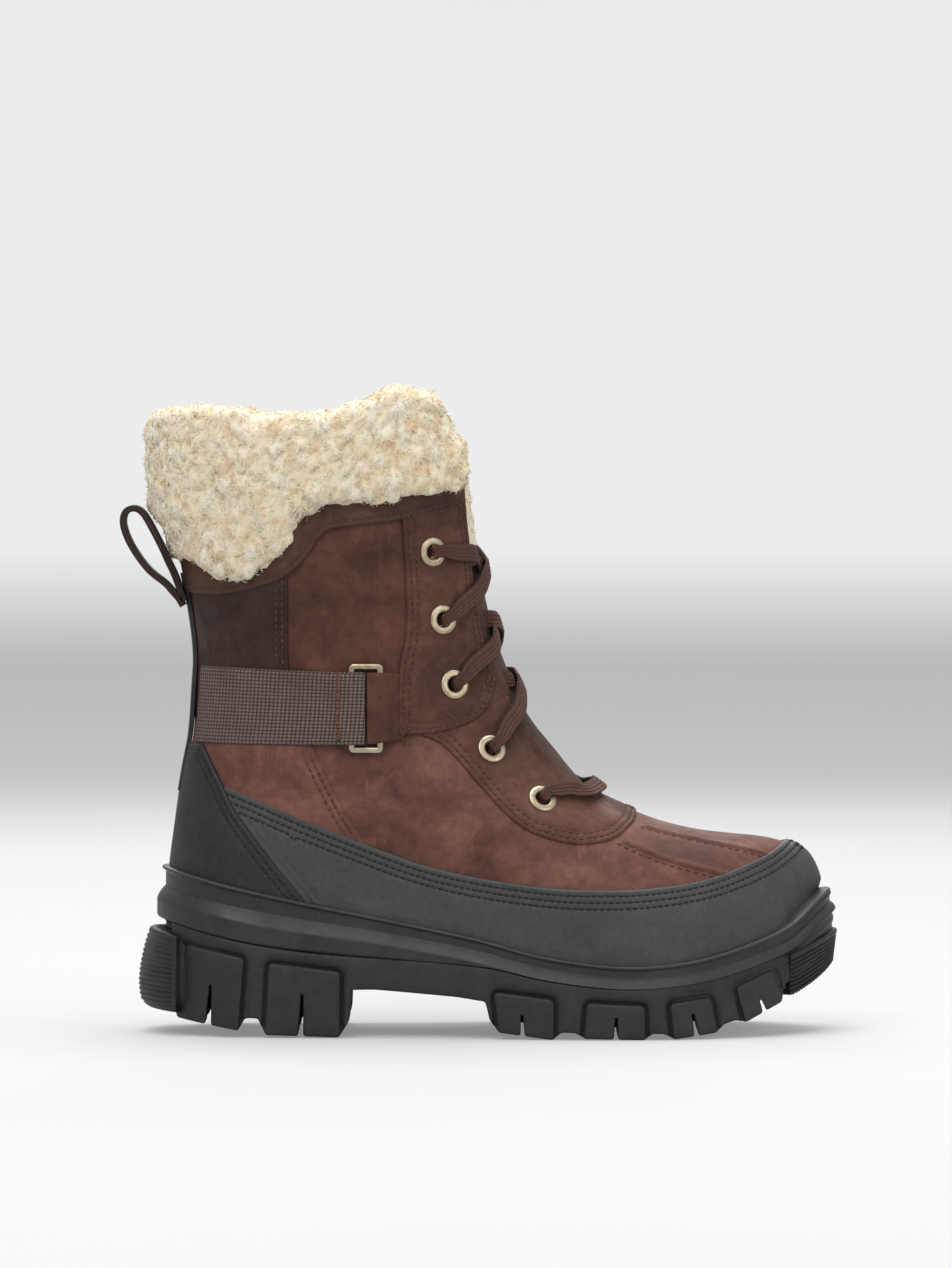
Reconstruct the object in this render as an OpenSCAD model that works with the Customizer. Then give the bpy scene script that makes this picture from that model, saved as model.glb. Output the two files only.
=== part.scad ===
// Insulated lace-up winter boot, right foot: leather upper, rubber-coated foxing, shearling cuff,
// lugged rubber outsole, five-row lacing and a webbing heel strap on metal rings.
//
// Frame: +X towards the toe, +Z up, +Y towards the inner (medial) side of the foot, in millimetres.
// The origin is on the ground, in the middle of the heel tread.
//
// Every layer of the upper is cut from one family of nested surfaces. The surface is described by its
// side view (x, z) and the half-width there; "inset" moves it inwards from the leather's outer face.

/* [Size] */
// Length of the sole from heel bumper to toe bumper
sole_length = 286; // [276:1:296]
// Height from the ground to the top of the cuff
boot_height = 268; // [258:1:278]
// Width of the upper at the ball of the foot
ball_width = 99; // [95:1:104]

/* [Layers] */
// Thickness of one layer of leather
leather = 1.2; // [1:0.1:1.3]
// Thickness of the insulated waterproof bootie
insulation = 2; // [1.5:0.1:2.2]
// Thickness of the fleece lining
fleece = 2.5; // [2:0.1:2.8]

/* [Lacing] */
// Outside diameter of an eyelet's flange
eyelet_d = 12.4; // [11:0.1:12.6]
// Diameter of the hole through an eyelet
eyelet_hole = 5.8; // [5.6:0.1:6.2]
// Width of the flat lace
lace_width = 8.4; // [6:0.1:9]
// Thickness of the flat lace
lace_thickness = 1.3; // [1.1:0.1:1.4]

/* [Strap] */
// Width of the heel strap's webbing
strap_width = 30.5; // [28:0.5:31]
// Diameter of the ring's wire
ring_wire = 2.6; // [2.2:0.1:2.8]
// Distance between the ring's two long bars
ring_depth = 11.4; // [11:0.1:13]

/* [Hidden] */
$fn = 48;

LATERAL = -1;
MEDIAL = 1;
kx = sole_length / 286;
kz = boot_height / 268;
ky = ball_width / 99;

// Layers, as [outer inset, inner inset]. Layers that lie on each other keep this much apart.
gap = 0.4;
BASE = [0, leather];
OVERLAY = [-(gap + leather), -gap];
STIFFENER = [leather + gap, leather + gap + 1];
BOOTIE = [STIFFENER[1] + gap, STIFFENER[1] + gap + insulation];
LINING = [BOOTIE[1] + gap, BOOTIE[1] + gap + fleece];

// ---------- small numeric helpers ----------

function clamp(t) = min(1, max(0, t));
function smooth(t) = let (c = clamp(t)) c * c * (3 - 2 * c);
function mix(a, b, t) = a + (b - a) * t;
function unit(v) = v / norm(v);
function flatten(rows) = [for (row = rows) each row];
function reversed(list) = [for (i = [len(list) - 1:-1:0]) list[i]];

// The interval of table T, a list of [key, value], that holds x.
function knot(x, T, i = 0) = i >= len(T) - 2 || x < T[i + 1][0] ? i : knot(x, T, i + 1);
function slope(T, i) =
    let (a = max(i - 1, 0), b = min(i + 1, len(T) - 1))
    (T[b][1] - T[a][1]) / (T[b][0] - T[a][0]);

// A smooth curve through table T, held level past its ends.
function curve(x, T) =
    let (
        i = knot(x, T),
        h = T[i + 1][0] - T[i][0],
        t = clamp((x - T[i][0]) / h),
        t2 = t * t,
        t3 = t2 * t
    )
    (2 * t3 - 3 * t2 + 1) * T[i][1] + (t3 - 2 * t2 + t) * h * slope(T, i)
    + (3 * t2 - 2 * t3) * T[i + 1][1] + (t3 - t2) * h * slope(T, i + 1);

// A point at share t of the way along a smooth line through points P.
function along(P, t) =
    let (
        s = clamp(t) * (len(P) - 1),
        i = min(floor(s), len(P) - 2),
        f = s - i,
        a = P[max(i - 1, 0)],
        b = P[i],
        c = P[i + 1],
        d = P[min(i + 2, len(P) - 1)]
    )
    b + f * ((c - a) / 2 + f * ((a - 2.5 * b + 2 * c - d / 2) + f * (1.5 * (b - c) + (d - a) / 2)));

// Rounds an end off: 0 at the end, 1 from one radius in.
function rounding(t, power = 2) = pow(max(0, 1 - pow(1 - clamp(t), power)), 1 / power);

function in_x(P) = [for (p = P) [p[0] * kx, p[1]]];
function in_z(P) = [for (p = P) [p[0] * kz, p[1] * kx]];
function in_xz(P) = [for (p = P) [p[0] * kx, p[1] * kz]];

// ---------- side view of the upper ----------

// Front line, [x, z], from the top of the shaft down the tongue and the vamp to the toe.
FRONT = in_xz([[87, 275], [89, 225], [91, 200], [95, 177], [101.6, 155], [111.4, 133], [122.6, 118.5],
    [130.5, 108.7], [141, 99.5], [154.3, 93], [164.6, 89], [181.7, 84.7], [195.5, 83], [208, 81.8],
    [217, 79.6], [224.5, 74], [229.5, 65], [231.3, 56], [231.5, 50]]);
// Back line, [z, x], from the insole up to the cuff.
BACK = in_z([[20, -34], [45, -35], [60, -35.3], [75, -34.4], [92, -32], [110, -29], [124, -26.4],
    [143, -25], [157, -24.4], [175, -26.5], [190, -29.5], [210, -32.5], [240, -35], [275, -36]]);
// Bottom of the upper, where it is lasted to the insole board, [x, z].
BOTTOM = in_xz([[-36, 52], [20, 50], [60, 44], [91, 35], [125, 27], [150, 25], [185, 28], [218, 38],
    [232, 46]]);
// Top edge of the sole's rim, [x, z].
RIM = in_xz([[-42, 70], [-20, 64.5], [16, 56.4], [60, 47.5], [91, 40.8], [113, 34.8], [135, 31.2], [152, 30],
    [170, 31.2], [185, 34], [203, 39.5], [218, 46], [230, 55], [238, 61]]);
// Half-widths of the foot part along x on the outer and inner sides, and its bent centre line.
FOOT_LATERAL = in_x([[-35, 37], [20, 37], [70, 41], [130, 50], [160, 51], [200, 49], [232, 46]]);
FOOT_MEDIAL = in_x([[-35, 37], [20, 36], [70, 37.5], [130, 46], [165, 48], [200, 47], [232, 44]]);
CENTRE = in_x([[-35, 0], [90, 0], [160, 2], [232, 8]]);
// Half-width of the shaft by height.
SHAFT = [[100 * kz, 37.5], [125 * kz, 37], [157 * kz, 38], [200 * kz, 42], [240 * kz, 45], [275 * kz, 46]];
// Radius over which the surface rounds into the back line, by height.
BACK_ROUND = [[0, 40], [70 * kz, 42], [140 * kz, 50], [200 * kz, 56], [275 * kz, 58]];
TOE_ROUND = 70;
HEEL_X = -35 * kx;
TOE_X = 231.5 * kx;
SHAFT_FROM_Z = 85 * kz;
SHAFT_FULL_Z = 135 * kz;

// Sections fan out from a pole in front of the ankle, so that they cross both foot and shaft squarely.
POLE = [252 * kx, 250 * kz];
function polar(p) =
    let (d = p - POLE, a = atan2(d[1], d[0]))
    [a < 0 ? a + 360 : a, norm(d)];
function cartesian(a, r) = POLE + r * [cos(a), sin(a)];
FRONT_POLAR = [for (p = FRONT) polar(p)];
// Radius over which the surface rounds into the front line, and how square that rounding is, by angle.
FRONT_ROUND = [[178, 58], [200, 56], [225, 50], [240, 45], [264, 44]];
SQUARENESS = [[178, 2], [225, 2.05], [245, 2.3], [264, 2.4]];

function front_r(a) = curve(a, FRONT_POLAR);
function back_x(z) = curve(z, BACK);
function within(x, z, inset) = x > back_x(z) + inset && z > curve(x, BOTTOM);
// Distance from the pole to the back line or the bottom, by halving.
function end_r(a, inset, lo, hi, n = 20) =
    n == 0 ? (lo + hi) / 2
    : let (m = (lo + hi) / 2, p = cartesian(a, m))
        within(p[0], p[1], inset) ? end_r(a, inset, m, hi, n - 1) : end_r(a, inset, lo, m, n - 1);

// Half-width of the upper on one side of its centre line, at a point of the side view.
function half_width(x, z, side, inset) =
    let (
        p = polar([x, z]),
        foot = ky * curve(x, side == LATERAL ? FOOT_LATERAL : FOOT_MEDIAL)
            * rounding((TOE_X - inset - x) / (TOE_ROUND - inset)),
        shaft = ky * curve(z, SHAFT),
        k = smooth((z - SHAFT_FROM_Z) / (SHAFT_FULL_Z - SHAFT_FROM_Z)),
        front = rounding((p[1] - front_r(p[0]) - inset) / (curve(p[0], FRONT_ROUND) - inset),
            curve(p[0], SQUARENESS)),
        back = rounding((x - back_x(z) - inset) / (curve(z, BACK_ROUND) - inset))
    )
    max(0, mix(foot, shaft, k) - inset) * front * back;
function centre_y(x) = ky * curve(x, CENTRE);

// Where a point of the side view goes when the skin is inset: back from the front line and the toe, and
// forwards from the back line, by shares that fade out with distance, so that all skins share one grid.
FADE = 45;
function fade(distance) = 1 - smooth(distance / FADE);
function moved(p, inset) =
    let (s = polar(p), depth = s[1] - front_r(s[0]))
    p + inset * fade(depth) * [cos(s[0]), sin(s[0])]
    + [inset * (fade(p[0] - back_x(p[1])) - fade(TOE_X - p[0])), 0];

// One section of the upper: the points at fan angle a, from the front line to the back or bottom.
// Points on the centre line overshoot it a little, so that the two sides of the boot join.
OVERSHOOT = 0.2;
function section(a, side, inset, overshoot) =
    let (r0 = front_r(a), r1 = end_r(a, 0, r0 + 4, 430 * kx))
    [for (t = steps(ACROSS))
        let (
            p = moved(cartesian(a, mix(r0, r1, (1 - cos(180 * t)) / 2)), inset),
            w = half_width(p[0], p[1], side, inset),
            central = t == 0 || a > FAN_TOE || (t == 1 && a < FAN_HEEL + 0.01)
        )
        [p[0], centre_y(p[0]) + side * (central ? -overshoot : max(w, 0.3)), p[1]]];

// The point of the surface over side-view point p.
function skin_point(p, side, inset) =
    [p[0], centre_y(p[0]) + side * half_width(p[0], p[1], side, inset), p[1]];

// Outward unit normal of the surface at side-view point p.
function normal(p, side) =
    let (
        e = 0.5,
        dx = skin_point(p + [e, 0], side, 0) - skin_point(p - [e, 0], side, 0),
        dz = skin_point(p + [0, e], side, 0) - skin_point(p - [0, e], side, 0)
    )
    unit([-side * dx[1], side * 2 * e, -side * dz[1]]);

// ---------- solids from grids of points ----------

function triple(a, b, c) = a * cross(b, c);
function signed_volume(pts, faces) =
    [for (f = faces) triple(pts[f[0]], pts[f[1]], pts[f[2]])] * [for (f = faces) 1];
// Draws a closed solid, with its faces turned the right way round whatever order the grid came in.
module solid(pts, faces) {
    outward = signed_volume(pts, faces) < 0;
    polyhedron(pts, outward ? faces : [for (f = faces) reversed(f)]);
}
function quad(a, b, c, d) = [[a, b, c], [a, c, d]];

// The closed solid between two grids of equal size, such as the outer and inner faces of a panel.
module between(A, B) {
    n = len(A);
    m = len(A[0]);
    function at(i, j, k) = k * n * m + i * m + j;
    skins = [for (k = [0, 1], i = [0:n - 2], j = [0:m - 2])
        let (q = [at(i, j, k), at(i, j + 1, k), at(i + 1, j + 1, k), at(i + 1, j, k)])
        each (k == 0 ? quad(q[0], q[1], q[2], q[3]) : quad(q[2], q[1], q[0], q[3]))];
    ends = [for (j = [0:m - 2]) each concat(
        quad(at(0, j + 1, 0), at(0, j, 0), at(0, j, 1), at(0, j + 1, 1)),
        quad(at(n - 1, j, 0), at(n - 1, j + 1, 0), at(n - 1, j + 1, 1), at(n - 1, j, 1)))];
    sides = [for (i = [0:n - 2]) each concat(
        quad(at(i, 0, 0), at(i + 1, 0, 0), at(i + 1, 0, 1), at(i, 0, 1)),
        quad(at(i + 1, m - 1, 0), at(i, m - 1, 0), at(i, m - 1, 1), at(i + 1, m - 1, 1)))];
    solid(concat(flatten(A), flatten(B)), concat(skins, ends, sides));
}

// The closed solid swept through rings of equal, even size. Each end is closed by a ladder of strips
// between the ring's first half and its second.
module swept(rings) {
    n = len(rings);
    m = len(rings[0]);
    walls = [for (i = [0:n - 2], j = [0:m - 1])
        each quad(i * m + j, i * m + (j + 1) % m, (i + 1) * m + (j + 1) % m, (i + 1) * m + j)];
    e = (n - 1) * m;
    caps = [for (j = [0:m / 2 - 2]) each concat(
        quad(j + 1, j, m - 1 - j, m - 2 - j), quad(e + j, e + j + 1, e + m - 2 - j, e + m - 1 - j))];
    solid(flatten(rings), concat(walls, caps));
}

// Shares along a panel from 0 to 1, in n steps.
function steps(n) = [for (i = [0:n]) i / n];

// ---------- the nested shells that every layer of the upper is cut from ----------

// Sections crowd together at the toe, where the surface turns fastest.
ALONG = 27;
ACROSS = 10;
HEEL_ROW = 9;
FAN_TOP = 176;
FAN_HEEL = polar([back_x(52 * kx), 52 * kx])[0];
FAN_TOE = 263.2;
FAN_TIP = 264.2;
function fan_angle(i) =
    i < HEEL_ROW ? mix(FAN_TOP, FAN_HEEL, i / HEEL_ROW)
    : i < ALONG ? mix(FAN_HEEL, FAN_TOE, (1 - cos(180 * (i - HEEL_ROW) / (ALONG - 1 - HEEL_ROW))) / 2)
    : FAN_TIP;

function skin(side, inset, overshoot = OVERSHOOT) =
    [for (i = [0:ALONG]) section(fan_angle(i), side, inset, overshoot)];

// Both sides of a skin as one grid, each row running from the outer side's back round the front.
function full_skin(inset) =
    let (outer_side = skin(LATERAL, inset, 0), inner_side = skin(MEDIAL, inset, 0))
    [for (i = [0:ALONG]) concat(reversed(outer_side[i]), [for (j = [1:ACROSS]) inner_side[i][j]])];
// A layer of the upper from the toe to above the cuff. Rows above the heel close up on the back line,
// and the last row is folded shut down the tip of the toe.
module shell(layer) {
    m = 2 * ACROSS + 1;
    size = m * (ALONG + 1);
    function at(i, j, k) =
        k * size + i * m + (i == ALONG ? min(j, m - 1 - j) : i <= HEEL_ROW && j == m - 1 ? 0 : j);
    skins = [for (k = [0, 1], i = [0:ALONG - 1], j = [0:m - 2])
        let (q = [at(i, j, k), at(i, j + 1, k), at(i + 1, j + 1, k), at(i + 1, j, k)])
        each (k == 0 ? quad(q[0], q[1], q[2], q[3]) : quad(q[2], q[1], q[0], q[3]))];
    top = [for (j = [0:m - 2]) each quad(at(0, j + 1, 0), at(0, j, 0), at(0, j, 1), at(0, j + 1, 1))];
    bottom = [for (i = [HEEL_ROW:ALONG - 1]) each concat(
        quad(at(i, 0, 0), at(i + 1, 0, 0), at(i + 1, 0, 1), at(i, 0, 1)),
        quad(at(i + 1, m - 1, 0), at(i, m - 1, 0), at(i, m - 1, 1), at(i + 1, m - 1, 1)))];
    faces = [for (f = concat(skins, top, bottom)) if (f[0] != f[1] && f[1] != f[2] && f[2] != f[0]) f];
    solid(concat(flatten(full_skin(layer[0])), flatten(full_skin(layer[1]))), faces);
}
// Everything inside a skin of the upper.
module inside(inset) {
    between(skin(LATERAL, inset, -0.4), skin(MEDIAL, inset, -0.4));
}

// The prism over a side-view outline, from width y0 to y1. Neighbouring outlines leave a gap.
module prism(outline, y0 = -90, y1 = 90) {
    translate([0, y1, 0])
    rotate([90, 0, 0])
    linear_extrude(y1 - y0)
    offset(delta = -gap / 2)
    polygon(outline);
}
// The prism over an outline on one side of the boot only.
module side_prism(outline, side, from = 0.2) {
    if (side == LATERAL) prism(outline, -90, -from);
    else prism(outline, from, 90);
}
// The lasting line in the side view, raised.
function bottom_line(rise, n = 16) =
    [for (t = steps(n)) let (x = mix(HEEL_X - 6, TOE_X + 2, t)) [x, curve(x, BOTTOM) + rise]];
// A layer cut to its children, as one mesh.
module cut(layer) {
    resize([0, 0, 0])
    intersection() {
        shell(layer);
        prism(concat([[-60, 300]], bottom_line(1.2), [[OUTSIDE, 64], [OUTSIDE, 300]]));
        children();
    }
}
function trace(P, n) = [for (t = steps(n)) along(P, t)];

// ---------- edges of the panels in the side view, [x, z] ----------

FOXING_TOP = trace(in_xz([[-13.4, 102.8], [-1.4, 98.2], [15.9, 90.8], [38.9, 81.7], [66.5, 71.7], [91.3, 66],
    [118.9, 62.2], [141, 61], [162.9, 61.6], [185.2, 64.9], [207, 72.6], [222, 82]]), 18);
HEEL_FOXING_EDGE = trace(in_xz([[-21.6, 119.6], [-13.4, 102.8], [-7.9, 91.7], [6, 72.5], [20, 55],
    [24, 48]]), 12);
QUARTER_SEAM = trace(in_xz([[12.6, 205], [12.7, 186], [13.2, 152], [17.5, 135], [23.3, 118.4], [34.4, 95.6],
    [43.5, 81.2], [58, 60], [68, 40]]), 14);
COLLAR_LOW = trace(in_xz([[-42, 183], [-31.5, 182.5], [-14.2, 182], [1.4, 185.4], [13, 190.3], [20.8, 198.2],
    [26.8, 206.8], [34.4, 209.7], [58.7, 212.6], [78, 216.5], [96, 220.5]]), 18);
CUFF_LOW = trace(in_xz([[-48, 196], [-31, 195], [-24, 192], [-17, 187], [-4.3, 188.3], [5.4, 193.2],
    [14.1, 201],
    [19, 211.6], [26, 216.5], [44.3, 218], [58.7, 220], [73.4, 222], [96, 228]]), 20);
EYESTAY_FRONT = trace(in_xz([[83.4, 230], [84.6, 213], [85.8, 201], [88.4, 180.6], [93, 158], [96.6, 147],
    [104, 135.3], [112.4, 122.8], [120.8, 111.7], [127, 105], [132.4, 101.3]]), 18);
EYESTAY_SPLIT = trace(in_xz([[97, 147], [95, 135], [88, 128.5], [73, 124.5], [58, 124], [50, 121]]), 10);
UPPER_EYESTAY_REAR = trace(in_xz([[58.7, 220], [60.8, 182.5], [60.6, 165], [58.4, 154], [57.6, 144],
    [57.6, 120]]), 12);
LOWER_EYESTAY_OUTER = trace(in_xz([[67, 124.2], [75, 120.6], [82.2, 113.7], [90.8, 103.8], [100.6, 93.1],
    [110.2, 85.3],
    [123, 80.5], [134.5, 79.1], [146.3, 81.4], [153, 86.3], [156, 91], [158, 97]]), 16);
EYELETS = in_xz([[71.1, 199.4], [75.2, 171.4], [80.1, 144.6], [95.8, 117.8], [116.6, 97.2]]);
STRAP_LOW_Z = 120 * kz;
STRAP_MID_Z = 135.4 * kz;
RING_AT = [44.6 * kx, STRAP_MID_Z];
THROAT_KNEE = [104 * kx, STRAP_MID_Z];
OUTSIDE = 320;

// Places children on the surface at side-view point p: +Z outwards, +X towards the toe, +Y up.
module on_skin(p, side) {
    n = normal(p, side);
    up = unit([0, 0, 1] - n[2] * n);
    ahead = cross(up, n);
    o = skin_point(p, side, 0);
    multmatrix([[ahead[0], up[0], n[0], o[0]], [ahead[1], up[1], n[1], o[1]], [ahead[2], up[2], n[2], o[2]],
        [0, 0, 0, 1]])
    scale([side == LATERAL ? 1 : -1, 1, 1])
    children();
}

// ---------- upper: leather panels ----------

SHAFT_BROWN = [0.27, 0.15, 0.12];
VAMP_BROWN = [0.35, 0.18, 0.13];
RUBBER_GREY = [0.17, 0.18, 0.18];
BOOT_BLACK = [0.07, 0.07, 0.07];
CREAM = [0.87, 0.82, 0.71];
BRASS = [0.72, 0.66, 0.47];
LACE_BROWN = [0.22, 0.11, 0.09];

module eyelet_holes() {
    for (side = [LATERAL, MEDIAL], p = EYELETS)
        on_skin(p, side)
        translate([0, 0, -8])
        cylinder(h = 20, r = eyelet_hole / 2 + 1.1);
}
// Leather is cut off here, above the cuff's lower edge, and below by the lasting line.
function above(P, rise) = [for (p = P) p + [0, rise]];
TOP_LINE = above(CUFF_LOW, 9);

module vamp() {
    rear = [for (p = QUARTER_SEAM) if (p[1] < STRAP_MID_Z) p];
    throat = concat([THROAT_KNEE], [for (p = EYESTAY_FRONT) if (p[1] < STRAP_MID_Z) p]);
    color(VAMP_BROWN)
    cut(BASE)
    difference() {
        prism(concat(rear, [[200, 20], [OUTSIDE, 20], [OUTSIDE, 101.3 * kz]], reversed(throat)));
        eyelet_holes();
    }
}

module rear_quarter(side) {
    seam = [for (p = QUARTER_SEAM) if (p[1] < STRAP_MID_Z) p];
    color(VAMP_BROWN)
    cut(BASE)
    side_prism(concat([[-60, STRAP_MID_Z], [-60, 20]], reversed(seam)), side);
}

module shaft_rear(side) {
    seam = [for (p = QUARTER_SEAM) if (p[1] > STRAP_MID_Z && p[1] < 200 * kz) p];
    lid = [for (p = TOP_LINE) if (p[0] < seam[0][0]) p];
    color(SHAFT_BROWN)
    cut(BASE)
    side_prism(concat([[-60, STRAP_MID_Z]], lid, seam, [[seam[len(seam) - 1][0], STRAP_MID_Z]]), side);
}

module shaft_front(side) {
    seam = [for (p = QUARTER_SEAM) if (p[1] > STRAP_MID_Z && p[1] < 200 * kz) p];
    lid = [for (p = TOP_LINE) if (p[0] > seam[0][0] && p[0] < 82 * kx) p];
    front = [for (p = EYESTAY_FRONT) if (p[1] > STRAP_MID_Z && p[1] < 229 * kz) p];
    color(SHAFT_BROWN)
    cut(BASE)
    difference() {
        side_prism(concat([[seam[len(seam) - 1][0], STRAP_MID_Z]], reversed(seam), lid, front, [THROAT_KNEE]),
            side);
        eyelet_holes();
    }
}

module eyestay_lower() {
    front = [for (p = EYESTAY_FRONT) if (p[1] < 146.5 * kz) p];
    split = [for (p = EYESTAY_SPLIT) if (p[0] > 69 * kx && p[1] < 146 * kz) p];
    color(SHAFT_BROWN)
    cut(OVERLAY)
    difference() {
        prism(concat(front, [[OUTSIDE, 101.3 * kz], [OUTSIDE, 97 * kz]], reversed(LOWER_EYESTAY_OUTER),
            reversed(split)));
        eyelet_holes();
    }
}

module eyestay_upper(side) {
    front = [for (p = EYESTAY_FRONT) if (p[1] > 147 * kz && p[1] < 226 * kz) p];
    lid = [for (p = COLLAR_LOW) if (p[0] > 59.5 * kx && p[0] < 84 * kx) p];
    rear = [for (p = UPPER_EYESTAY_REAR) if (p[1] < 211 * kz && p[1] > 122 * kz) p];
    split = [for (p = EYESTAY_SPLIT) if (p[0] > 57.6 * kx) p];
    color(SHAFT_BROWN)
    cut(OVERLAY)
    difference() {
        side_prism(concat(rear, reversed(split), reversed([for (p = front) if (p[1] < 216 * kz) p]),
            reversed(lid)), side);
        eyelet_holes();
    }
}

module collar_band(side) {
    low = [for (p = COLLAR_LOW) if (p[0] < 84 * kx) p];
    high = [for (p = CUFF_LOW) if (p[0] < 84 * kx) p];
    color(SHAFT_BROWN)
    cut(OVERLAY)
    side_prism(concat(low, reversed(high)), side, BACKSTAY_HALF + gap);
}

// ---------- upper: foxing and backstay ----------

BACKSTAY_HALF = 6;

module foxing_front() {
    edge = [for (p = HEEL_FOXING_EDGE) if (p[1] < 102.8 * kz) p];
    top = [for (p = FOXING_TOP) if (p[0] > edge[0][0]) p];
    color(RUBBER_GREY)
    cut(OVERLAY)
    prism(concat(top, [[OUTSIDE, 90], [OUTSIDE, 20], [40, 20]], reversed(edge)));
}

module foxing_heel() {
    color(BOOT_BLACK)
    cut(OVERLAY)
    prism(concat([[-60, 119.6 * kz]], HEEL_FOXING_EDGE, [[24, 20], [-60, 20]]));
}

module backstay() {
    color(BOOT_BLACK)
    cut(OVERLAY)
    prism([[-60, 119.6 * kz], [-60, 193 * kz], [-20, 187 * kz], [-5, 119.6 * kz]],
        -BACKSTAY_HALF, BACKSTAY_HALF);
}

// ---------- upper: inside ----------

// In front the bootie and its lining stop short of the tongue.
TONGUE_ROOM = 27;
function depth_line(depth, a0, a1, n) =
    [for (t = steps(n)) let (a = mix(a0, a1, t)) cartesian(a, front_r(a) + depth)];
module sock(layer, rise) {
    lid = [for (p = above(CUFF_LOW, 9)) if (p[0] < 66 * kx) p];
    front = depth_line(TONGUE_ROOM, 187, 234, 12);
    throat = [for (t = [1:4]) let (a = 234 + 2 * t) cartesian(a, front_r(a) + TONGUE_ROOM * (1 - t / 4) - 1)];
    cut(layer)
    prism(concat([[-60, 90]], lid, front, throat, [[OUTSIDE, 60], [OUTSIDE, 40]],
        reversed(bottom_line(rise)), [[-60, 60]]));
}
module insulated_bootie() {
    color([0.2, 0.22, 0.25])
    sock(BOOTIE, 4);
}
module fleece_lining() {
    color(CREAM)
    sock(LINING, 4);
}

module heel_counter() {
    color([0.75, 0.72, 0.66])
    cut(STIFFENER)
    prism(concat([[-60, 96], [-5, 96], [18, 88], [30, 56]],
        [for (x = [28, 10, -10, -60]) [x, curve(x, BOTTOM) + 5]]));
}
module toe_puff() {
    color([0.75, 0.72, 0.66])
    cut(STIFFENER)
    prism([[186, 120], [OUTSIDE, 120], [OUTSIDE, 52], [224, 49], [190, 40], [188, 60]]);
}

// ---------- shearling cuff, tongue ----------

CUFF_PROUD = 6.5;
CUFF_TOP = trace(in_xz([[-50, 249], [-37, 262], [-24, 263.5], [10, 260], [34, 263], [46, 268], [60, 270],
    [70, 265], [76, 258], [84, 245], [90, 228]]), 20);

module shearling_cuff() {
    low = [for (p = CUFF_LOW) if (p[0] < 86 * kx) p];
    color(CREAM)
    resize([0, 0, 0])
    difference() {
        intersection() {
            shell([-CUFF_PROUD, LINING[1]]);
            prism(concat(low, reversed(CUFF_TOP)));
        }
        intersection() {
            shell([-gap, LINING[1] + 1]);
            prism(concat([[-60, 150]], above(CUFF_LOW, 10), [[100, 150]]));
        }
        translate([30 * kx, -TONGUE_HALF - 1.6, 150]) cube([80, 2 * TONGUE_HALF + 3.2, 150]);
    }
}

TONGUE_HALF = 22.6;
TONGUE_OUTER = 4.3;
TONGUE = [TONGUE_OUTER, TONGUE_OUTER + leather];
TONGUE_FLEECE = [TONGUE[1] + gap, TONGUE[1] + gap + 4];
TONGUE_ANGLES = [185, 236];
TONGUE_PIVOT = cartesian(TONGUE_ANGLES[1] - 1, front_r(TONGUE_ANGLES[1] - 1) + 6);
module tongue_layer(layer, depth, half) {
    cut(layer)
    prism(concat(depth_line(-2, TONGUE_ANGLES[0], TONGUE_ANGLES[1], 12),
        depth_line(depth, TONGUE_ANGLES[1], TONGUE_ANGLES[0], 12)), -half, half);
}
module tongue() {
    color([0.33, 0.27, 0.22])
    tongue_layer(TONGUE, 21, TONGUE_HALF);
}
module tongue_shearling() {
    color(CREAM)
    tongue_layer(TONGUE_FLEECE, 22, TONGUE_HALF - 1);
}

// ---------- pull loop ----------

LOOP_PIVOT = [-34.6 * kx, 184 * kz];
module pull_loop() {
    outer = trace(in_xz([[-34.4, 181.6], [-37.4, 184.4], [-42, 188.5], [-50, 196.5], [-56.3, 206.5],
        [-57.8, 212.5],
        [-56.2, 216.2], [-52.5, 217.8], [-48.5, 216.6], [-44.6, 210.5], [-40.5, 202.5], [-37.6, 197],
        [-35, 190],
        [-33.2, 186.5]]), 28);
    hole = trace(in_xz([[-38.6, 188.3], [-44.6, 193.6], [-50.6, 200.6], [-54.3, 208], [-54.9, 212.6],
        [-52.3, 215.2],
        [-49.8, 213.6], [-46, 207.4], [-42, 200], [-39.2, 194.4], [-37.4, 190]]), 24);
    color(BOOT_BLACK)
    difference() {
        union() {
            translate([0, 7.5, 0]) rotate([90, 0, 0]) linear_extrude(15) polygon(outer);
            translate([LOOP_PIVOT[0], 7.5, LOOP_PIVOT[1]]) rotate([90, 0, 0]) cylinder(h = 15, r = 2);
        }
        translate([0, 9, 0]) rotate([90, 0, 0]) linear_extrude(18) polygon(hole);
    }
}

// ---------- eyelets ----------

EYELET_SEAT = -OVERLAY[0] + 0.5;
module eyelets() {
    r = eyelet_hole / 2;
    color(BRASS)
    for (side = [LATERAL, MEDIAL], p = EYELETS)
        on_skin(p, side)
        rotate_extrude()
        polygon([[r, -3], [r + 0.6, -3], [r + 0.6, EYELET_SEAT], [eyelet_d / 2, EYELET_SEAT],
            [eyelet_d / 2, EYELET_SEAT + 0.4],
            [eyelet_d / 2 - 1.2, EYELET_SEAT + 0.9],
            [r + 0.8, EYELET_SEAT + 0.8],
            [r, EYELET_SEAT + 0.1]]);
}
module eyelet_washers() {
    r = eyelet_hole / 2 + 0.9;
    color(BRASS)
    for (side = [LATERAL, MEDIAL], p = EYELETS)
        on_skin(p, side)
        translate([0, 0, -3])
        difference() {
            cylinder(h = 0.6, r = r + 1.2);
            translate([0, 0, -1]) cylinder(h = 3, r = r);
        }
}

// ---------- lace ----------

// Point of the surface over side-view point p, lifted outwards.
function lifted(p, side, lift) = skin_point(p, side, 0) + lift * normal(p, side);
// Point at fan angle a and depth behind the front line, lifted outwards.
function fan_lifted(a, depth, side, lift) = lifted(cartesian(a, front_r(a) + depth), side, lift);
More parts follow.
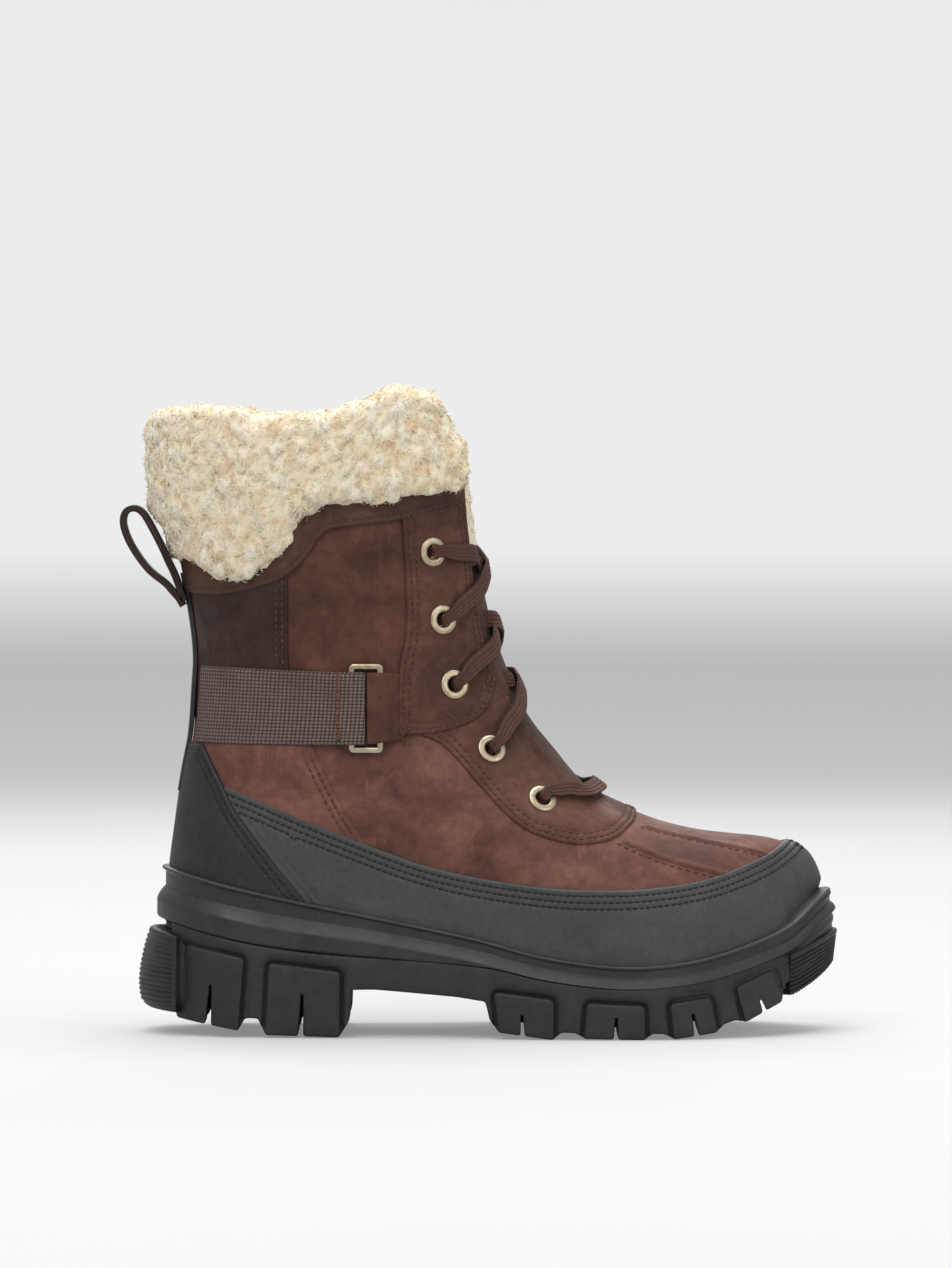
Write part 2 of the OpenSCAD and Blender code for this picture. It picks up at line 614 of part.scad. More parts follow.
// Point above the front line at fan angle a, off the centre by y, lifted outwards.
function front_lifted(a, y, lift) =
    let (p = cartesian(a, front_r(a) - lift + 0.012 * y * y))
    [p[0], centre_y(p[0]) + y, p[1]];
function eyelet_angle(k) = polar(EYELETS[k])[0];
function eyelet_depth(k) = polar(EYELETS[k])[1] - front_r(eyelet_angle(k));

LACE_IN = -(3 + lace_thickness / 2 + 0.9);
// The boot curves more sharply round the two lower rows, so the lace stands off further there.
LOW_ROWS = 3;
function lace_out(k) = EYELET_SEAT + 0.9 + lace_thickness / 2 + (k < LOW_ROWS ? 0.3 : 1.1);
// Each entry of a path is [point, width share, quarter turns about the path].
function bore(k, side, outward) =
    let (
        turn = k < LOW_ROWS ? 0 : 1,
        list = [
            [lifted(EYELETS[k], side, LACE_IN + 0.1 - 0.6 * turn), 0.55, turn],
            [lifted(EYELETS[k], side, -1), 0.45, 0.6 * turn],
            [lifted(EYELETS[k], side, 1.4), 0.45, 0],
            [lifted(EYELETS[k], side, lace_out(k) - 0.4), 0.55, 0]
        ]
    )
    outward ? list : reversed(list);
// From row k on one side, outside, over the tongue.
function outward(k, j, side, lift) =
    let (a = eyelet_angle(k), b = eyelet_angle(j), d = eyelet_depth(k))
    [
        [fan_lifted(mix(a, b, 0.03), d - 2.4, side, lace_out(k) + 0.1), 0.6, 0],
        [fan_lifted(mix(a, b, 0.1), d - 5.4, side, lace_out(k)), 0.85, 0],
        [fan_lifted(mix(a, b, 0.17), d - 9, side, lace_out(k) - 0.2), 1, 0],
        [fan_lifted(mix(a, b, 0.26), 5.2, side, 3.3), 1, 0],
        [front_lifted(mix(a, b, 0.42), side * 8, lift + 0.3), 1, 0],
        [front_lifted(mix(a, b, 0.5), 0, lift), 1, 0],
        [front_lifted(mix(a, b, 0.58), -side * 8, lift - 0.3), 1, 0]
    ];
// The same, and then in under the other edge towards row j.
function crossing(k, j, side, lift) =
    let (a = eyelet_angle(k), b = eyelet_angle(j), e = eyelet_depth(j))
    concat(outward(k, j, side, lift), [
        [fan_lifted(mix(a, b, 0.71), 3.4, -side, -3), 1, 0],
        [fan_lifted(mix(a, b, 0.8), 8, -side, -3), 0.95, 0],
        [fan_lifted(mix(a, b, 0.9), e - 6.5, -side, -3.2), 0.8, 0],
        [fan_lifted(b, e - 2.6, -side, LACE_IN), 0.6, 0]
    ]);
// The last one goes over the other edge as well, into the top eyelet from outside, and ends inside.
function last_crossing(side, lift) =
    let (a = eyelet_angle(1), b = eyelet_angle(0), e = eyelet_depth(0))
    concat(outward(1, 0, side, lift), [
        [fan_lifted(mix(a, b, 0.79), 5.2, -side, 3.3), 1, 0],
        [fan_lifted(mix(a, b, 0.87), e - 9, -side, lace_out(0) - 0.2), 1, 0],
        [fan_lifted(mix(a, b, 0.94), e - 5.4, -side, lace_out(0)), 0.85, 0],
        [fan_lifted(mix(a, b, 0.99), e - 2.4, -side, lace_out(0) + 0.1), 0.6, 0]
    ], bore(0, -side, false), [
        [fan_lifted(b - 0.8, e - 1.4, -side, LACE_IN), 0.5, 0],
        [fan_lifted(b - 1.6, e - 2.4, -side, LACE_IN), 0.5, 0]
    ]);
// Straight bar across the bottom row, on the outside.
BAR_ROW = 4;
function bar_end(side) =
    let (a = eyelet_angle(BAR_ROW), d = eyelet_depth(BAR_ROW))
    [
        [fan_lifted(a, d - 2.4, side, lace_out(BAR_ROW) + 0.1), 0.6, 0],
        [fan_lifted(a + 0.7, d - 5.4, side, lace_out(BAR_ROW)), 0.85, 0],
        [fan_lifted(a + 1.8, d - 9, side, lace_out(BAR_ROW) + 0.4), 1, 0],
        [fan_lifted(a + 3.6, 5.5, side, 4.8), 1, 0]
    ];
function bar() =
    let (a = eyelet_angle(BAR_ROW))
    concat(
        bar_end(LATERAL),
        [for (y = [-9, 0, 9]) [front_lifted(a + 4.4, y, 3.6), 1, 0]],
        reversed(bar_end(MEDIAL)));
// Inside, from the bottom row up to the next one on the same side.
function riser(side) =
    let (a = eyelet_angle(4), b = eyelet_angle(3), d = eyelet_depth(4), e = eyelet_depth(3))
    [for (t = [0.2, 0.5, 0.8]) [fan_lifted(mix(a, b, t), mix(d, e, t), side, LACE_IN - 1), 0.7, 1]];
// The half of the lace that leaves the bar on one side.
function half_lace(side, low) =
    concat(
        bore(4, side, false), riser(side), bore(3, side, true),
        crossing(3, 2, side, low ? 0.2 : 2.5), bore(2, -side, true),
        crossing(2, 1, -side, low ? 0.2 : 2.5), bore(1, side, true),
        last_crossing(side, low ? 0.2 : 2.5));
function lace_path() = concat(reversed(half_lace(LATERAL, false)), bar(), half_lace(MEDIAL, true));

// Direction up the front of the boot at a point.
function upwards(p) =
    let (
        s = polar([p[0], p[2]]),
        above = cartesian(s[0] - 1, front_r(s[0] - 1)),
        below = cartesian(s[0] + 1, front_r(s[0] + 1)),
        u = above - below
    )
    unit([u[0], 0, u[1]]);
// Direction from a point towards the fan's pole.
function poleward(p) = let (d = POLE - [p[0], p[2]]) unit([d[0], 0, d[1]]);

module lace() {
    path = lace_path();
    points = [for (e = path) e[0]];
    shares = [for (e = path) e[1]];
    turns = [for (e = path) e[2]];
    n = 2 * (len(path) - 1);
    rings = [for (i = [0:n])
        let (
            p = along(points, i / n),
            t = unit(along(points, (i + 0.5) / n) - along(points, (i - 0.5) / n)),
            k = clamp(along(turns, i / n)),
            u = cos(90 * k) * upwards(p) + sin(90 * k) * poleward(p),
            w = unit(u - (u * t) * t) * lace_width * along(shares, i / n) / 2,
            h = cross(t, unit(w)) * lace_thickness / 2
        )
        [p + w + h, p - w + h, p - w - h, p + w - h]];
    color(LACE_BROWN)
    swept(rings);
}

module lace_aglets() {
    color(BRASS)
    for (end = [0, 1]) {
        path = [for (e = lace_path()) e[0]];
        tip = end == 0 ? path[0] : path[len(path) - 1];
        before = end == 0 ? path[1] : path[len(path) - 2];
        d = unit(tip - before);
        translate(tip + 0.4 * d)
        rotate([0, acos(d[2]), atan2(d[1], d[0])])
        cylinder(h = 9, r = 1.1);
    }
}

// ---------- heel strap ----------

STRAP = [-(gap + 1.8), -gap];
LOOP_LIFT = 3.7;
LOOP_CLEAR = 0.5;
LOOP_WALL = 1.1;

module end_loop(x) {
    translate([x, -strap_width / 2, LOOP_LIFT])
    rotate([-90, 0, 0])
    difference() {
        cylinder(h = strap_width, r = ring_wire / 2 + LOOP_CLEAR + LOOP_WALL);
        translate([0, 0, -1]) cylinder(h = strap_width + 2, r = ring_wire / 2 + LOOP_CLEAR);
    }
}
module strap(side) {
    rear = RING_AT[0] - ring_depth / 2 - 1.5;
    color([0.36, 0.30, 0.27])
    union() {
        cut(STRAP)
        side_prism([[-60, STRAP_LOW_Z], [-60, 152.4 * kz], [-22, 152.4 * kz], [11.5, 150.2 * kz],
            [rear, STRAP_MID_Z + strap_width / 2], [rear, STRAP_MID_Z - strap_width / 2]],
            side, BACKSTAY_HALF + gap);
        on_skin(RING_AT, side) end_loop(-ring_depth / 2);
    }
}
module ring_tab(side) {
    front = RING_AT[0] + ring_depth / 2 + 1.5;
    color(SHAFT_BROWN)
    union() {
        cut(OVERLAY)
        side_prism([[front, STRAP_MID_Z - strap_width / 2], [front, STRAP_MID_Z + strap_width / 2],
            [57.4 * kx, STRAP_MID_Z + strap_width / 2 - 1],
            [57.4 * kx, STRAP_MID_Z - strap_width / 2 + 2]], side);
        on_skin(RING_AT, side) end_loop(ring_depth / 2);
    }
}
module ring(side) {
    color(BRASS)
    on_skin(RING_AT, side)
    translate([0, 0, LOOP_LIFT])
    union() {
        for (x = [-1, 1])
            translate([x * ring_depth / 2, -17.6, 0])
            rotate([-90, 0, 0])
            cylinder(h = 35.2, r = ring_wire / 2);
        for (y = [-1, 1])
            translate([0, y * 16.9, 0]) cube([ring_depth + ring_wire, 2.6, ring_wire], center = true);
    }
}

// ---------- inside the foot ----------

// A slab between two heights above the lasting line, as wide as the upper less a margin.
function slab_ring(margin, rise, x0, x1) =
    let (
        n = 22,
        xs = [for (t = steps(n)) mix(x0, x1, (1 - cos(180 * t)) / 2)],
        edge = [for (side = [LATERAL, MEDIAL]) [for (x = xs)
            let (
                full = ky * curve(x, side == LATERAL ? FOOT_LATERAL : FOOT_MEDIAL) - margin,
                w = full * rounding((x1 - x) / (TOE_ROUND - margin)) * rounding((x - x0) / (40 - margin))
            )
            [x, centre_y(x) + side * max(w, 0.5), curve(x, BOTTOM) + rise]]]
    )
    concat(edge[0], reversed(edge[1]));
module slab(margin, low, high) {
    x0 = HEEL_X + margin;
    x1 = TOE_X - margin;
    swept([slab_ring(margin, low, x0, x1), slab_ring(margin, high, x0, x1)]);
}
module insole_board() {
    color([0.72, 0.65, 0.52])
    slab(STIFFENER[1] + 1, 0.5, 2.7);
}
module footbed_foam() {
    color([0.28, 0.30, 0.32])
    slab(LINING[1] + 3.5, 3.6, 7.6);
}
module footbed_cover() {
    color(CREAM)
    slab(LINING[1] + 3.5, 7.9, 9.6);
}

// ---------- sole ----------

// Bottom of the sole's body, above the lugs, [x, z].
SOLE_LOW = in_xz([[-50, 37], [-30, 34], [5, 30.5], [47, 26.5], [60, 22.5], [91, 20], [110, 17.5], [140, 15],
    [165, 14.5], [200, 20], [225, 29], [240, 38]]);
// How far the sole stands out beyond the upper at the bottom of its body.
SOLE_PROUD = in_x([[-50, 12.5], [0, 8], [60, 5], [150, 4.5], [200, 5], [238, 6.5]]);

function sole_ring(proud_share, rise) =
    [for (side = [LATERAL, MEDIAL], i = side == LATERAL ? [0:26] : [26:-1:0])
        let (
            o0 = mix(4.2, SOLE_PROUD[0][1], proud_share),
            o1 = mix(4.2, SOLE_PROUD[5][1], proud_share),
            x = mix(HEEL_X - o0, TOE_X + o1, (1 - cos(180 * i / 26)) / 2),
            o = mix(4.2, curve(x, SOLE_PROUD), proud_share),
            full = ky * curve(x, side == LATERAL ? FOOT_LATERAL : FOOT_MEDIAL) + o,
            toe = rounding((TOE_X + o1 - x) / (TOE_ROUND + o1)),
            w = full * toe * rounding((x - HEEL_X + o0) / (40 + o0)),
            z = mix(curve(x, SOLE_LOW), curve(x, RIM), rise)
        )
        [x, centre_y(x) + side * max(w, 0.5), z]];

module sole_body() {
    swept([sole_ring(0.85, 0), sole_ring(1, 0.12), sole_ring(0.9, 0.42), sole_ring(0.35, 0.5),
        sole_ring(0.3, 0.72),
        sole_ring(-0.05, 0.82), sole_ring(0, 0.95), sole_ring(-0.15, 1)]);
}
module midsole_shape(grow) {
    x0 = -26 * kx - grow;
    x1 = 212 * kx + grow;
    function ring(top) = [for (side = [LATERAL, MEDIAL], i = side == LATERAL ? [0:20] : [20:-1:0])
        let (
            x = mix(x0, x1, (1 - cos(180 * i / 20)) / 2),
            full = ky * curve(x, side == LATERAL ? FOOT_LATERAL : FOOT_MEDIAL) - 8 + grow,
            w = full * rounding((x1 - x) / 55) * rounding((x - x0) / 30),
            z = top ? curve(x, BOTTOM) + (grow > 0 ? 1 : -0.4) : curve(x, SOLE_LOW) + 4 - grow
        )
        [x, centre_y(x) + side * max(w, 0.5), z]];
    swept([ring(false), ring(true)]);
}
// Side-view outlines of the lugs along each edge, [x, z].
LUGS = [
    in_xz([[-31, 40], [-5, 40], [-7.5, 3], [-34.5, 7.5], [-36, 10]]),
    in_xz([[15, 40], [35, 40], [36, 9], [31, 0], [3.2, 0], [4, 34], [15, 34]]),
    in_xz([[95, 25], [95, 6], [99, 0], [119.5, 0], [122, 21], [122, 25]]),
    in_xz([[133, 20], [132, 0], [157.6, 0], [158.5, 20]]),
    in_xz([[164, 19], [169, 0.6], [188.5, 4], [185.5, 23]]),
    in_xz([[194.5, 27], [196.5, 7.5], [214.4, 16], [211.5, 34]])
];
module tread() {
    intersection() {
        union() {
            for (lug = LUGS) {
                prism(lug, -70, -16);
                prism(lug, 16, 70);
            }
        }
        swept([
            [for (p = sole_ring(0.25, 0)) [p[0], p[1], -1]],
            [for (p = sole_ring(0.6, 0)) [p[0], p[1], 60]]
        ]);
    }
}
// Flat pads down the middle of the tread: [x, length, half-width].
PADS = [[0, 28, 12], [134 * kx, 28, 12]];
module pads(top) {
    for (p = PADS)
        translate([p[0] - p[1] / 2, centre_y(p[0]) - p[2], 0])
        cube([p[1], 2 * p[2], top]);
}
module outsole() {
    color(BOOT_BLACK)
    resize([0, 0, 0])
    difference() {
        union() {
            sole_body();
            tread();
            pads(19);
            translate([-14, -12, 0]) cube([28, 24, 33]);
        }
        inside(-(2 * gap + leather + 0.1));
        midsole_shape(0.4);
        shank_shape(0.4);
    }
}
module midsole() {
    color([0.85, 0.84, 0.8])
    resize([0, 0, 0])
    difference() {
        midsole_shape(0);
        shank_shape(0.4);
    }
}
// Steel strip under the waist.
module shank_shape(grow) {
    n = 8;
    x0 = 2 - grow;
    x1 = 92 + grow;
    function ring(x) = let (w = 8 + grow, z = curve(x, BOTTOM) - 0.4)
        [[x, -w, z + grow], [x, w, z + grow], [x, w, z - 1.4 - grow], [x, -w, z - 1.4 - grow]];
    swept([for (t = steps(n)) ring(mix(x0, x1, t))]);
}
module shank() {
    color([0.6, 0.62, 0.64])
    shank_shape(0);
}

outsole();
midsole();
shank();
insole_board();
footbed_foam();
footbed_cover();
fleece_lining();
insulated_bootie();
heel_counter();
toe_puff();
vamp();
rear_quarter(LATERAL);  // rear_quarter_lateral
rear_quarter(MEDIAL);  // rear_quarter_medial
shaft_rear(LATERAL);  // shaft_rear_lateral
shaft_rear(MEDIAL);  // shaft_rear_medial
shaft_front(LATERAL);  // shaft_front_lateral
shaft_front(MEDIAL);  // shaft_front_medial
eyestay_lower();
eyestay_upper(LATERAL);  // eyestay_upper_lateral
eyestay_upper(MEDIAL);  // eyestay_upper_medial
collar_band(LATERAL);  // collar_band_lateral
collar_band(MEDIAL);  // collar_band_medial
foxing_front();
foxing_heel();
backstay();
shearling_cuff();
pull_loop();
tongue();
tongue_shearling();
eyelets();
eyelet_washers();
lace();
lace_aglets();
strap(LATERAL);  // strap_lateral
strap(MEDIAL);  // strap_medial
ring(LATERAL);  // ring_lateral
ring(MEDIAL);  // ring_medial
ring_tab(LATERAL);  // ring_tab_lateral
ring_tab(MEDIAL);  // ring_tab_medial
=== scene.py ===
import math

import bmesh
import bpy
import numpy as np
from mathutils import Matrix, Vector
from mathutils.geometry import delaunay_2d_cdt
from mathutils.kdtree import KDTree


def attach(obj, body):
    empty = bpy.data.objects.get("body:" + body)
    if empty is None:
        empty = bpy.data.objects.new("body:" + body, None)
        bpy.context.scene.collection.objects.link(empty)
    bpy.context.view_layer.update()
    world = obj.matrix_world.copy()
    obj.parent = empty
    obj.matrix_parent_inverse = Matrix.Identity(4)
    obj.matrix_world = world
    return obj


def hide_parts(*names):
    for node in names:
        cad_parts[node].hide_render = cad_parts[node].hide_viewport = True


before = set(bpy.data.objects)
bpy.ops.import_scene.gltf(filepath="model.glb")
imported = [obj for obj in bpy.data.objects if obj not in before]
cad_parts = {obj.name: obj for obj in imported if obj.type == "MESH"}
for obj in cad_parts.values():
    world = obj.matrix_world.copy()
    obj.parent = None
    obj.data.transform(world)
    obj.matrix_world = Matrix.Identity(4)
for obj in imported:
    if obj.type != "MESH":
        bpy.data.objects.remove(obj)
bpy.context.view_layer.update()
MM = 0.001
LATERAL, MEDIAL = -1, 1
BOTH = (LATERAL, MEDIAL)
RNG = np.random.default_rng(11)

# ---------- the base surface of the upper: the same curves as the CAD, in millimetres ----------

FRONT = [[87, 275], [89, 225], [91, 200], [95, 177], [101.6, 155], [111.4, 133], [122.6, 118.5],
         [130.5, 108.7], [141, 99.5], [154.3, 93], [164.6, 89], [181.7, 84.7], [195.5, 83], [208, 81.8],
         [217, 79.6], [224.5, 74], [229.5, 65], [231.3, 56], [231.5, 50]]
BACK = [[20, -34], [45, -35], [60, -35.3], [75, -34.4], [92, -32], [110, -29], [124, -26.4],
        [143, -25], [157, -24.4], [175, -26.5], [190, -29.5], [210, -32.5], [240, -35], [275, -36]]
BOTTOM = [[-36, 52], [20, 50], [60, 44], [91, 35], [125, 27], [150, 25], [185, 28], [218, 38], [232, 46]]
RIM = [[-42, 70], [-20, 64.5], [16, 56.4], [60, 47.5], [91, 40.8], [113, 34.8], [135, 31.2], [152, 30],
       [170, 31.2], [185, 34], [203, 39.5], [218, 46], [230, 55], [238, 61]]
FOOT_LATERAL = [[-35, 37], [20, 37], [70, 41], [130, 50], [160, 51], [200, 49], [232, 46]]
FOOT_MEDIAL = [[-35, 37], [20, 36], [70, 37.5], [130, 46], [165, 48], [200, 47], [232, 44]]
CENTRE = [[-35, 0], [90, 0], [160, 2], [232, 8]]
SHAFT = [[100, 37.5], [125, 37], [157, 38], [200, 42], [240, 45], [275, 46]]
BACK_ROUND = [[0, 40], [70, 42], [140, 50], [200, 56], [275, 58]]
FRONT_ROUND = [[178, 58], [200, 56], [225, 50], [240, 45], [264, 44]]
SQUARENESS = [[178, 2], [225, 2.05], [245, 2.3], [264, 2.4]]
TOE_ROUND, HEEL_X, TOE_X = 70, -35, 231.5
POLE = np.array([252.0, 250.0])
FAN_TOP, FAN_TIP = 176.0, 264.2


def curve(x, table):
    """Cubic Hermite through table, level past its ends."""
    T = np.asarray(table, float)
    X, V = T[:, 0], T[:, 1]
    lo, hi = np.maximum(np.arange(len(X)) - 1, 0), np.minimum(np.arange(len(X)) + 1, len(X) - 1)
    S = (V[hi] - V[lo]) / (X[hi] - X[lo])
    i = np.clip(np.searchsorted(X, x, side="right") - 1, 0, len(X) - 2)
    h = X[i + 1] - X[i]
    t = np.clip((x - X[i]) / h, 0, 1)
    return ((2 * t**3 - 3 * t**2 + 1) * V[i] + (t**3 - 2 * t**2 + t) * h * S[i]
            + (3 * t**2 - 2 * t**3) * V[i + 1] + (t**3 - t**2) * h * S[i + 1])


def smooth(t):
    t = np.clip(t, 0, 1)
    return t * t * (3 - 2 * t)


def rounding(t, power=2):
    return np.maximum(0, 1 - (1 - np.clip(t, 0, 1)) ** power) ** (1 / power)


def polar(x, z):
    a = np.degrees(np.arctan2(z - POLE[1], x - POLE[0]))
    return np.where(a < 0, a + 360, a), np.hypot(x - POLE[0], z - POLE[1])


def cartesian(a, r):
    return POLE[0] + r * np.cos(np.radians(a)), POLE[1] + r * np.sin(np.radians(a))


FRONT_POLAR = np.column_stack(polar(*np.array(FRONT).T))


def front_r(a):
    return curve(a, FRONT_POLAR)


def half_width(x, z, side, inset=0.0):
    a, r = polar(x, z)
    foot = np.where(side < 0, curve(x, FOOT_LATERAL), curve(x, FOOT_MEDIAL))
    foot = foot * rounding((TOE_X - inset - x) / (TOE_ROUND - inset))
    k = smooth((z - 85) / 50)
    power = curve(a, SQUARENESS)
    front = 1 - (1 - np.clip((r - front_r(a) - inset) / (curve(a, FRONT_ROUND) - inset), 0, 1)) ** power
    front = np.maximum(front, 0) ** (1 / power)
    back = rounding((x - curve(z, BACK) - inset) / (curve(z, BACK_ROUND) - inset))
    return np.maximum(0, foot * (1 - k) + curve(z, SHAFT) * k - inset) * front * back


def centre_y(x):
    return curve(x, CENTRE)


def end_r(a):
    lo, hi = front_r(a) + 4, np.full(len(a), 430.0)
    for _ in range(26):
        m = (lo + hi) / 2
        x, z = cartesian(a, m)
        inside = (x > curve(z, BACK)) & (z > curve(x, BOTTOM))
        lo, hi = np.where(inside, m, lo), np.where(inside, hi, m)
    return lo


# Rows of the grid are fan angles; columns are equal steps of arc length from the back, round the front.
HALF = 240
ANGLES = np.concatenate([np.linspace(FAN_TOP, 250, 250, endpoint=False),
                         250 + (FAN_TIP - 250) * (1 - (1 - np.linspace(0, 1, 90)) ** 2.4)])
ROWS = len(ANGLES)
# Rows that meet the back line, where the two sides join.
MEETS_BACK = ANGLES < polar(np.array(-35.2), np.array(52.0))[0]


def build_grid():
    r0, r1 = front_r(ANGLES), end_r(ANGLES)
    s = (1 - np.cos(np.pi * np.linspace(0, 1, 500))) / 2
    r = r0[:, None] + (r1 - r0)[:, None] * s[None] ** 1.5
    a = np.repeat(ANGLES[:, None], r.shape[1], 1)
    x, z = cartesian(a, r)
    points, radii, lengths = {}, {}, {}
    for side in BOTH:
        w = half_width(x, z, side)
        w[:, 0] = 0
        w[MEETS_BACK, -1] = 0
        P = np.stack([x, centre_y(x) + side * w, z], -1)
        step = np.linalg.norm(np.diff(P, axis=1), axis=2)
        arc = np.concatenate([np.zeros((ROWS, 1)), np.cumsum(step, 1)], 1)
        lengths[side] = arc[:, -1]
        q = np.linspace(0, 1, HALF + 1)
        out = np.zeros((ROWS, HALF + 1, 3))
        rad = np.zeros((ROWS, HALF + 1))
        for i in range(ROWS):
            t = q * arc[i, -1]
            for c in range(3):
                out[i, :, c] = np.interp(t, arc[i], P[i, :, c])
            rad[i] = np.interp(t, arc[i], r[i])
        points[side], radii[side] = out, rad
    G = np.concatenate([points[LATERAL][:, ::-1], points[MEDIAL][:, 1:]], 1)
    return G, radii, lengths


def grid_normals():
    N = np.cross(np.gradient(GRID, axis=0), np.gradient(GRID, axis=1))
    N /= np.maximum(np.linalg.norm(N, axis=2, keepdims=True), 1e-9)
    if N[100, HALF // 2, 1] > 0:
        N = -N
    shared = N[:, 0] + N[:, -1]
    shared[:, 1] = 0
    shared /= np.maximum(np.linalg.norm(shared, axis=1, keepdims=True), 1e-9)
    N[MEETS_BACK, 0] = N[MEETS_BACK, -1] = shared[MEETS_BACK]
    return N


GRID, RADII, LENGTHS = build_grid()
NORMALS = grid_normals()
U_OF_ROW = np.concatenate([[0], np.cumsum(np.linalg.norm(np.diff(GRID, axis=0), axis=2).mean(1))])

# Slow waves of the whole upper, the same for every layer: direction, phase and height.
WAVES = [(RNG.normal(size=3) / RNG.uniform(9, 26), RNG.uniform(0, 6.28), RNG.uniform(0.03, 0.11))
         for _ in range(26)]
INSTEP_DROP, TOE_FULLNESS = 1.5, 2.0


def undulation(P):
    """Lift of the leather off the plain surface: slight waves, a flatter instep and a fuller toe."""
    x, y, z = P[:, 0], P[:, 1] - centre_y(P[:, 0]), P[:, 2]
    flat = smooth((x - 128) / 16) * smooth((230 - x) / 14) * smooth((32 - np.abs(y)) / 14)
    full = smooth((x - 213) / 15) * smooth((87 - z) / 12) * smooth((z - 58) / 4)
    waves = sum(amp * np.sin(P @ k + phase) for k, phase, amp in WAVES)
    return waves - INSTEP_DROP * flat + TOE_FULLNESS * full


def side_length(U, V):
    """Length of the row through each point, from the front line to the back, on the point's own side."""
    row = np.interp(U, U_OF_ROW, np.arange(ROWS))
    lateral, medial = (np.interp(row, np.arange(ROWS), LENGTHS[side]) for side in BOTH)
    return np.where(V < 0, lateral, medial)


def sample(U, V):
    """Base points and normals of the surface at grid coordinates (U along the rows, V round them), in mm."""
    U, V = np.asarray(U, float), np.asarray(V, float)
    i = np.clip(np.interp(U, U_OF_ROW, np.arange(ROWS)), 0, ROWS - 1.0001)
    j = np.clip((V / side_length(U, V) + 1) * HALF, 0, 2 * HALF - 0.0001)
    i0, j0 = i.astype(int), j.astype(int)
    fi, fj = (i - i0)[:, None], (j - j0)[:, None]

    def mixed(F):
        return ((F[i0, j0] * (1 - fj) + F[i0, j0 + 1] * fj) * (1 - fi)
                + (F[i0 + 1, j0] * (1 - fj) + F[i0 + 1, j0 + 1] * fj) * fi)
    P, N = mixed(GRID), mixed(NORMALS)
    return P, N / np.linalg.norm(N, axis=1, keepdims=True)


def place(xz, side):
    """Grid coordinates of side-view points on one side. Points off the surface go to its nearest edge."""
    xz = np.asarray(xz, float)
    a, r = polar(xz[:, 0], xz[:, 1])
    row = np.clip(np.interp(a, ANGLES, np.arange(ROWS)), 0, ROWS - 1.0001)
    U = np.interp(row, np.arange(ROWS), U_OF_ROW)
    q = np.linspace(0, 1, HALF + 1)
    V = np.zeros(len(xz))
    for n in range(len(xz)):
        i, f = int(row[n]), row[n] - int(row[n])
        R = RADII[side][i] * (1 - f) + RADII[side][i + 1] * f
        V[n] = np.interp(r[n], R, q) * ((1 - f) * LENGTHS[side][i] + f * LENGTHS[side][i + 1])
    return np.column_stack([U, side * V])


def shift(UV, direction3, tries=2):
    """Moves grid coordinates by small 3-D vectors lying in the surface."""
    e = 0.3
    start, _ = sample(UV[:, 0], UV[:, 1])
    for _ in range(tries):
        P, _ = sample(UV[:, 0], UV[:, 1])
        go = start + direction3 - P
        L0 = side_length(UV[:, 0], UV[:, 1])
        Pu, _ = sample(UV[:, 0] + e, UV[:, 1] * side_length(UV[:, 0] + e, UV[:, 1]) / L0)
        Pv, _ = sample(UV[:, 0], UV[:, 1] + e)
        Pw, _ = sample(UV[:, 0], UV[:, 1] - e)
        eu, ev = (Pu - P) / e, (Pv - Pw) / (2 * e)
        a, b, c = (eu * eu).sum(1), (eu * ev).sum(1), (ev * ev).sum(1)
        p, q = (eu * go).sum(1), (ev * go).sum(1)
        det = np.maximum(a * c - b * b, 1e-6)
        du, dv = (c * p - b * q) / det, (a * q - b * p) / det
        L1 = side_length(UV[:, 0] + du, UV[:, 1])
        UV = np.column_stack([UV[:, 0] + du, UV[:, 1] * L1 / L0 + dv])
    return UV


def spline(points, n):
    """A smooth line through points, at n + 1 even parameters."""
    P = np.asarray(points, float)
    s = np.linspace(0, len(P) - 1, n + 1)
    i = np.minimum(s.astype(int), len(P) - 2)
    f = (s - i)[:, None]
    a, b, c, d = P[np.maximum(i - 1, 0)], P[i], P[i + 1], P[np.minimum(i + 2, len(P) - 1)]
    return b + f * ((c - a) / 2 + f * ((a - 2.5 * b + 2 * c - d / 2) + f * (1.5 * (b - c) + (d - a) / 2)))


def arc_length(P):
    return np.concatenate([[0], np.cumsum(np.linalg.norm(np.diff(P, axis=0), axis=1))])


def along(P, d, at):
    """The polyline P at arc length at, one value or many, where d is the arc length at its points."""
    return np.stack([np.interp(at, d, P[:, c]) for c in range(P.shape[1])], -1)


def even(P, step):
    """Points at even steps along a polyline of any dimension."""
    P = np.asarray(P, float)
    d = arc_length(P)
    return along(P, d, np.linspace(0, d[-1], max(int(round(d[-1] / step)), 1) + 1))


def even_count(P, n):
    """n evenly spaced points along a polyline, and their arc lengths."""
    d = arc_length(P)
    t = np.linspace(0, d[-1], n)
    return along(P, d, t), t


# ---------- outlines in the side view, [x, z] ----------

FOXING_TOP = spline([[-22, 106], [-13.4, 102.8], [-1.4, 98.2], [15.9, 90.8], [38.9, 81.7], [66.5, 71.7],
                     [91.3, 66], [118.9, 62.2], [141, 61], [162.9, 61.6], [185.2, 64.9], [207, 72.6],
                     [222, 82]], 90)
HEEL_FOXING_EDGE = spline([[-21.6, 119.6], [-13.4, 102.8], [-7.9, 91.7], [6, 72.5], [20, 55], [24, 48]], 40)
QUARTER_SEAM = spline([[12.6, 205], [12.7, 186], [13.2, 152], [17.5, 135], [23.3, 118.4], [34.4, 95.6],
                       [43.5, 81.2], [58, 60], [68, 40]], 70)
COLLAR_LOW = spline([[-42, 183], [-31.5, 182.5], [-14.2, 182], [1.4, 185.4], [13, 190.3], [20.8, 198.2],
                     [26.8, 206.8], [34.4, 209.7], [58.7, 212.6], [78, 216.5], [92, 219.5]], 80)
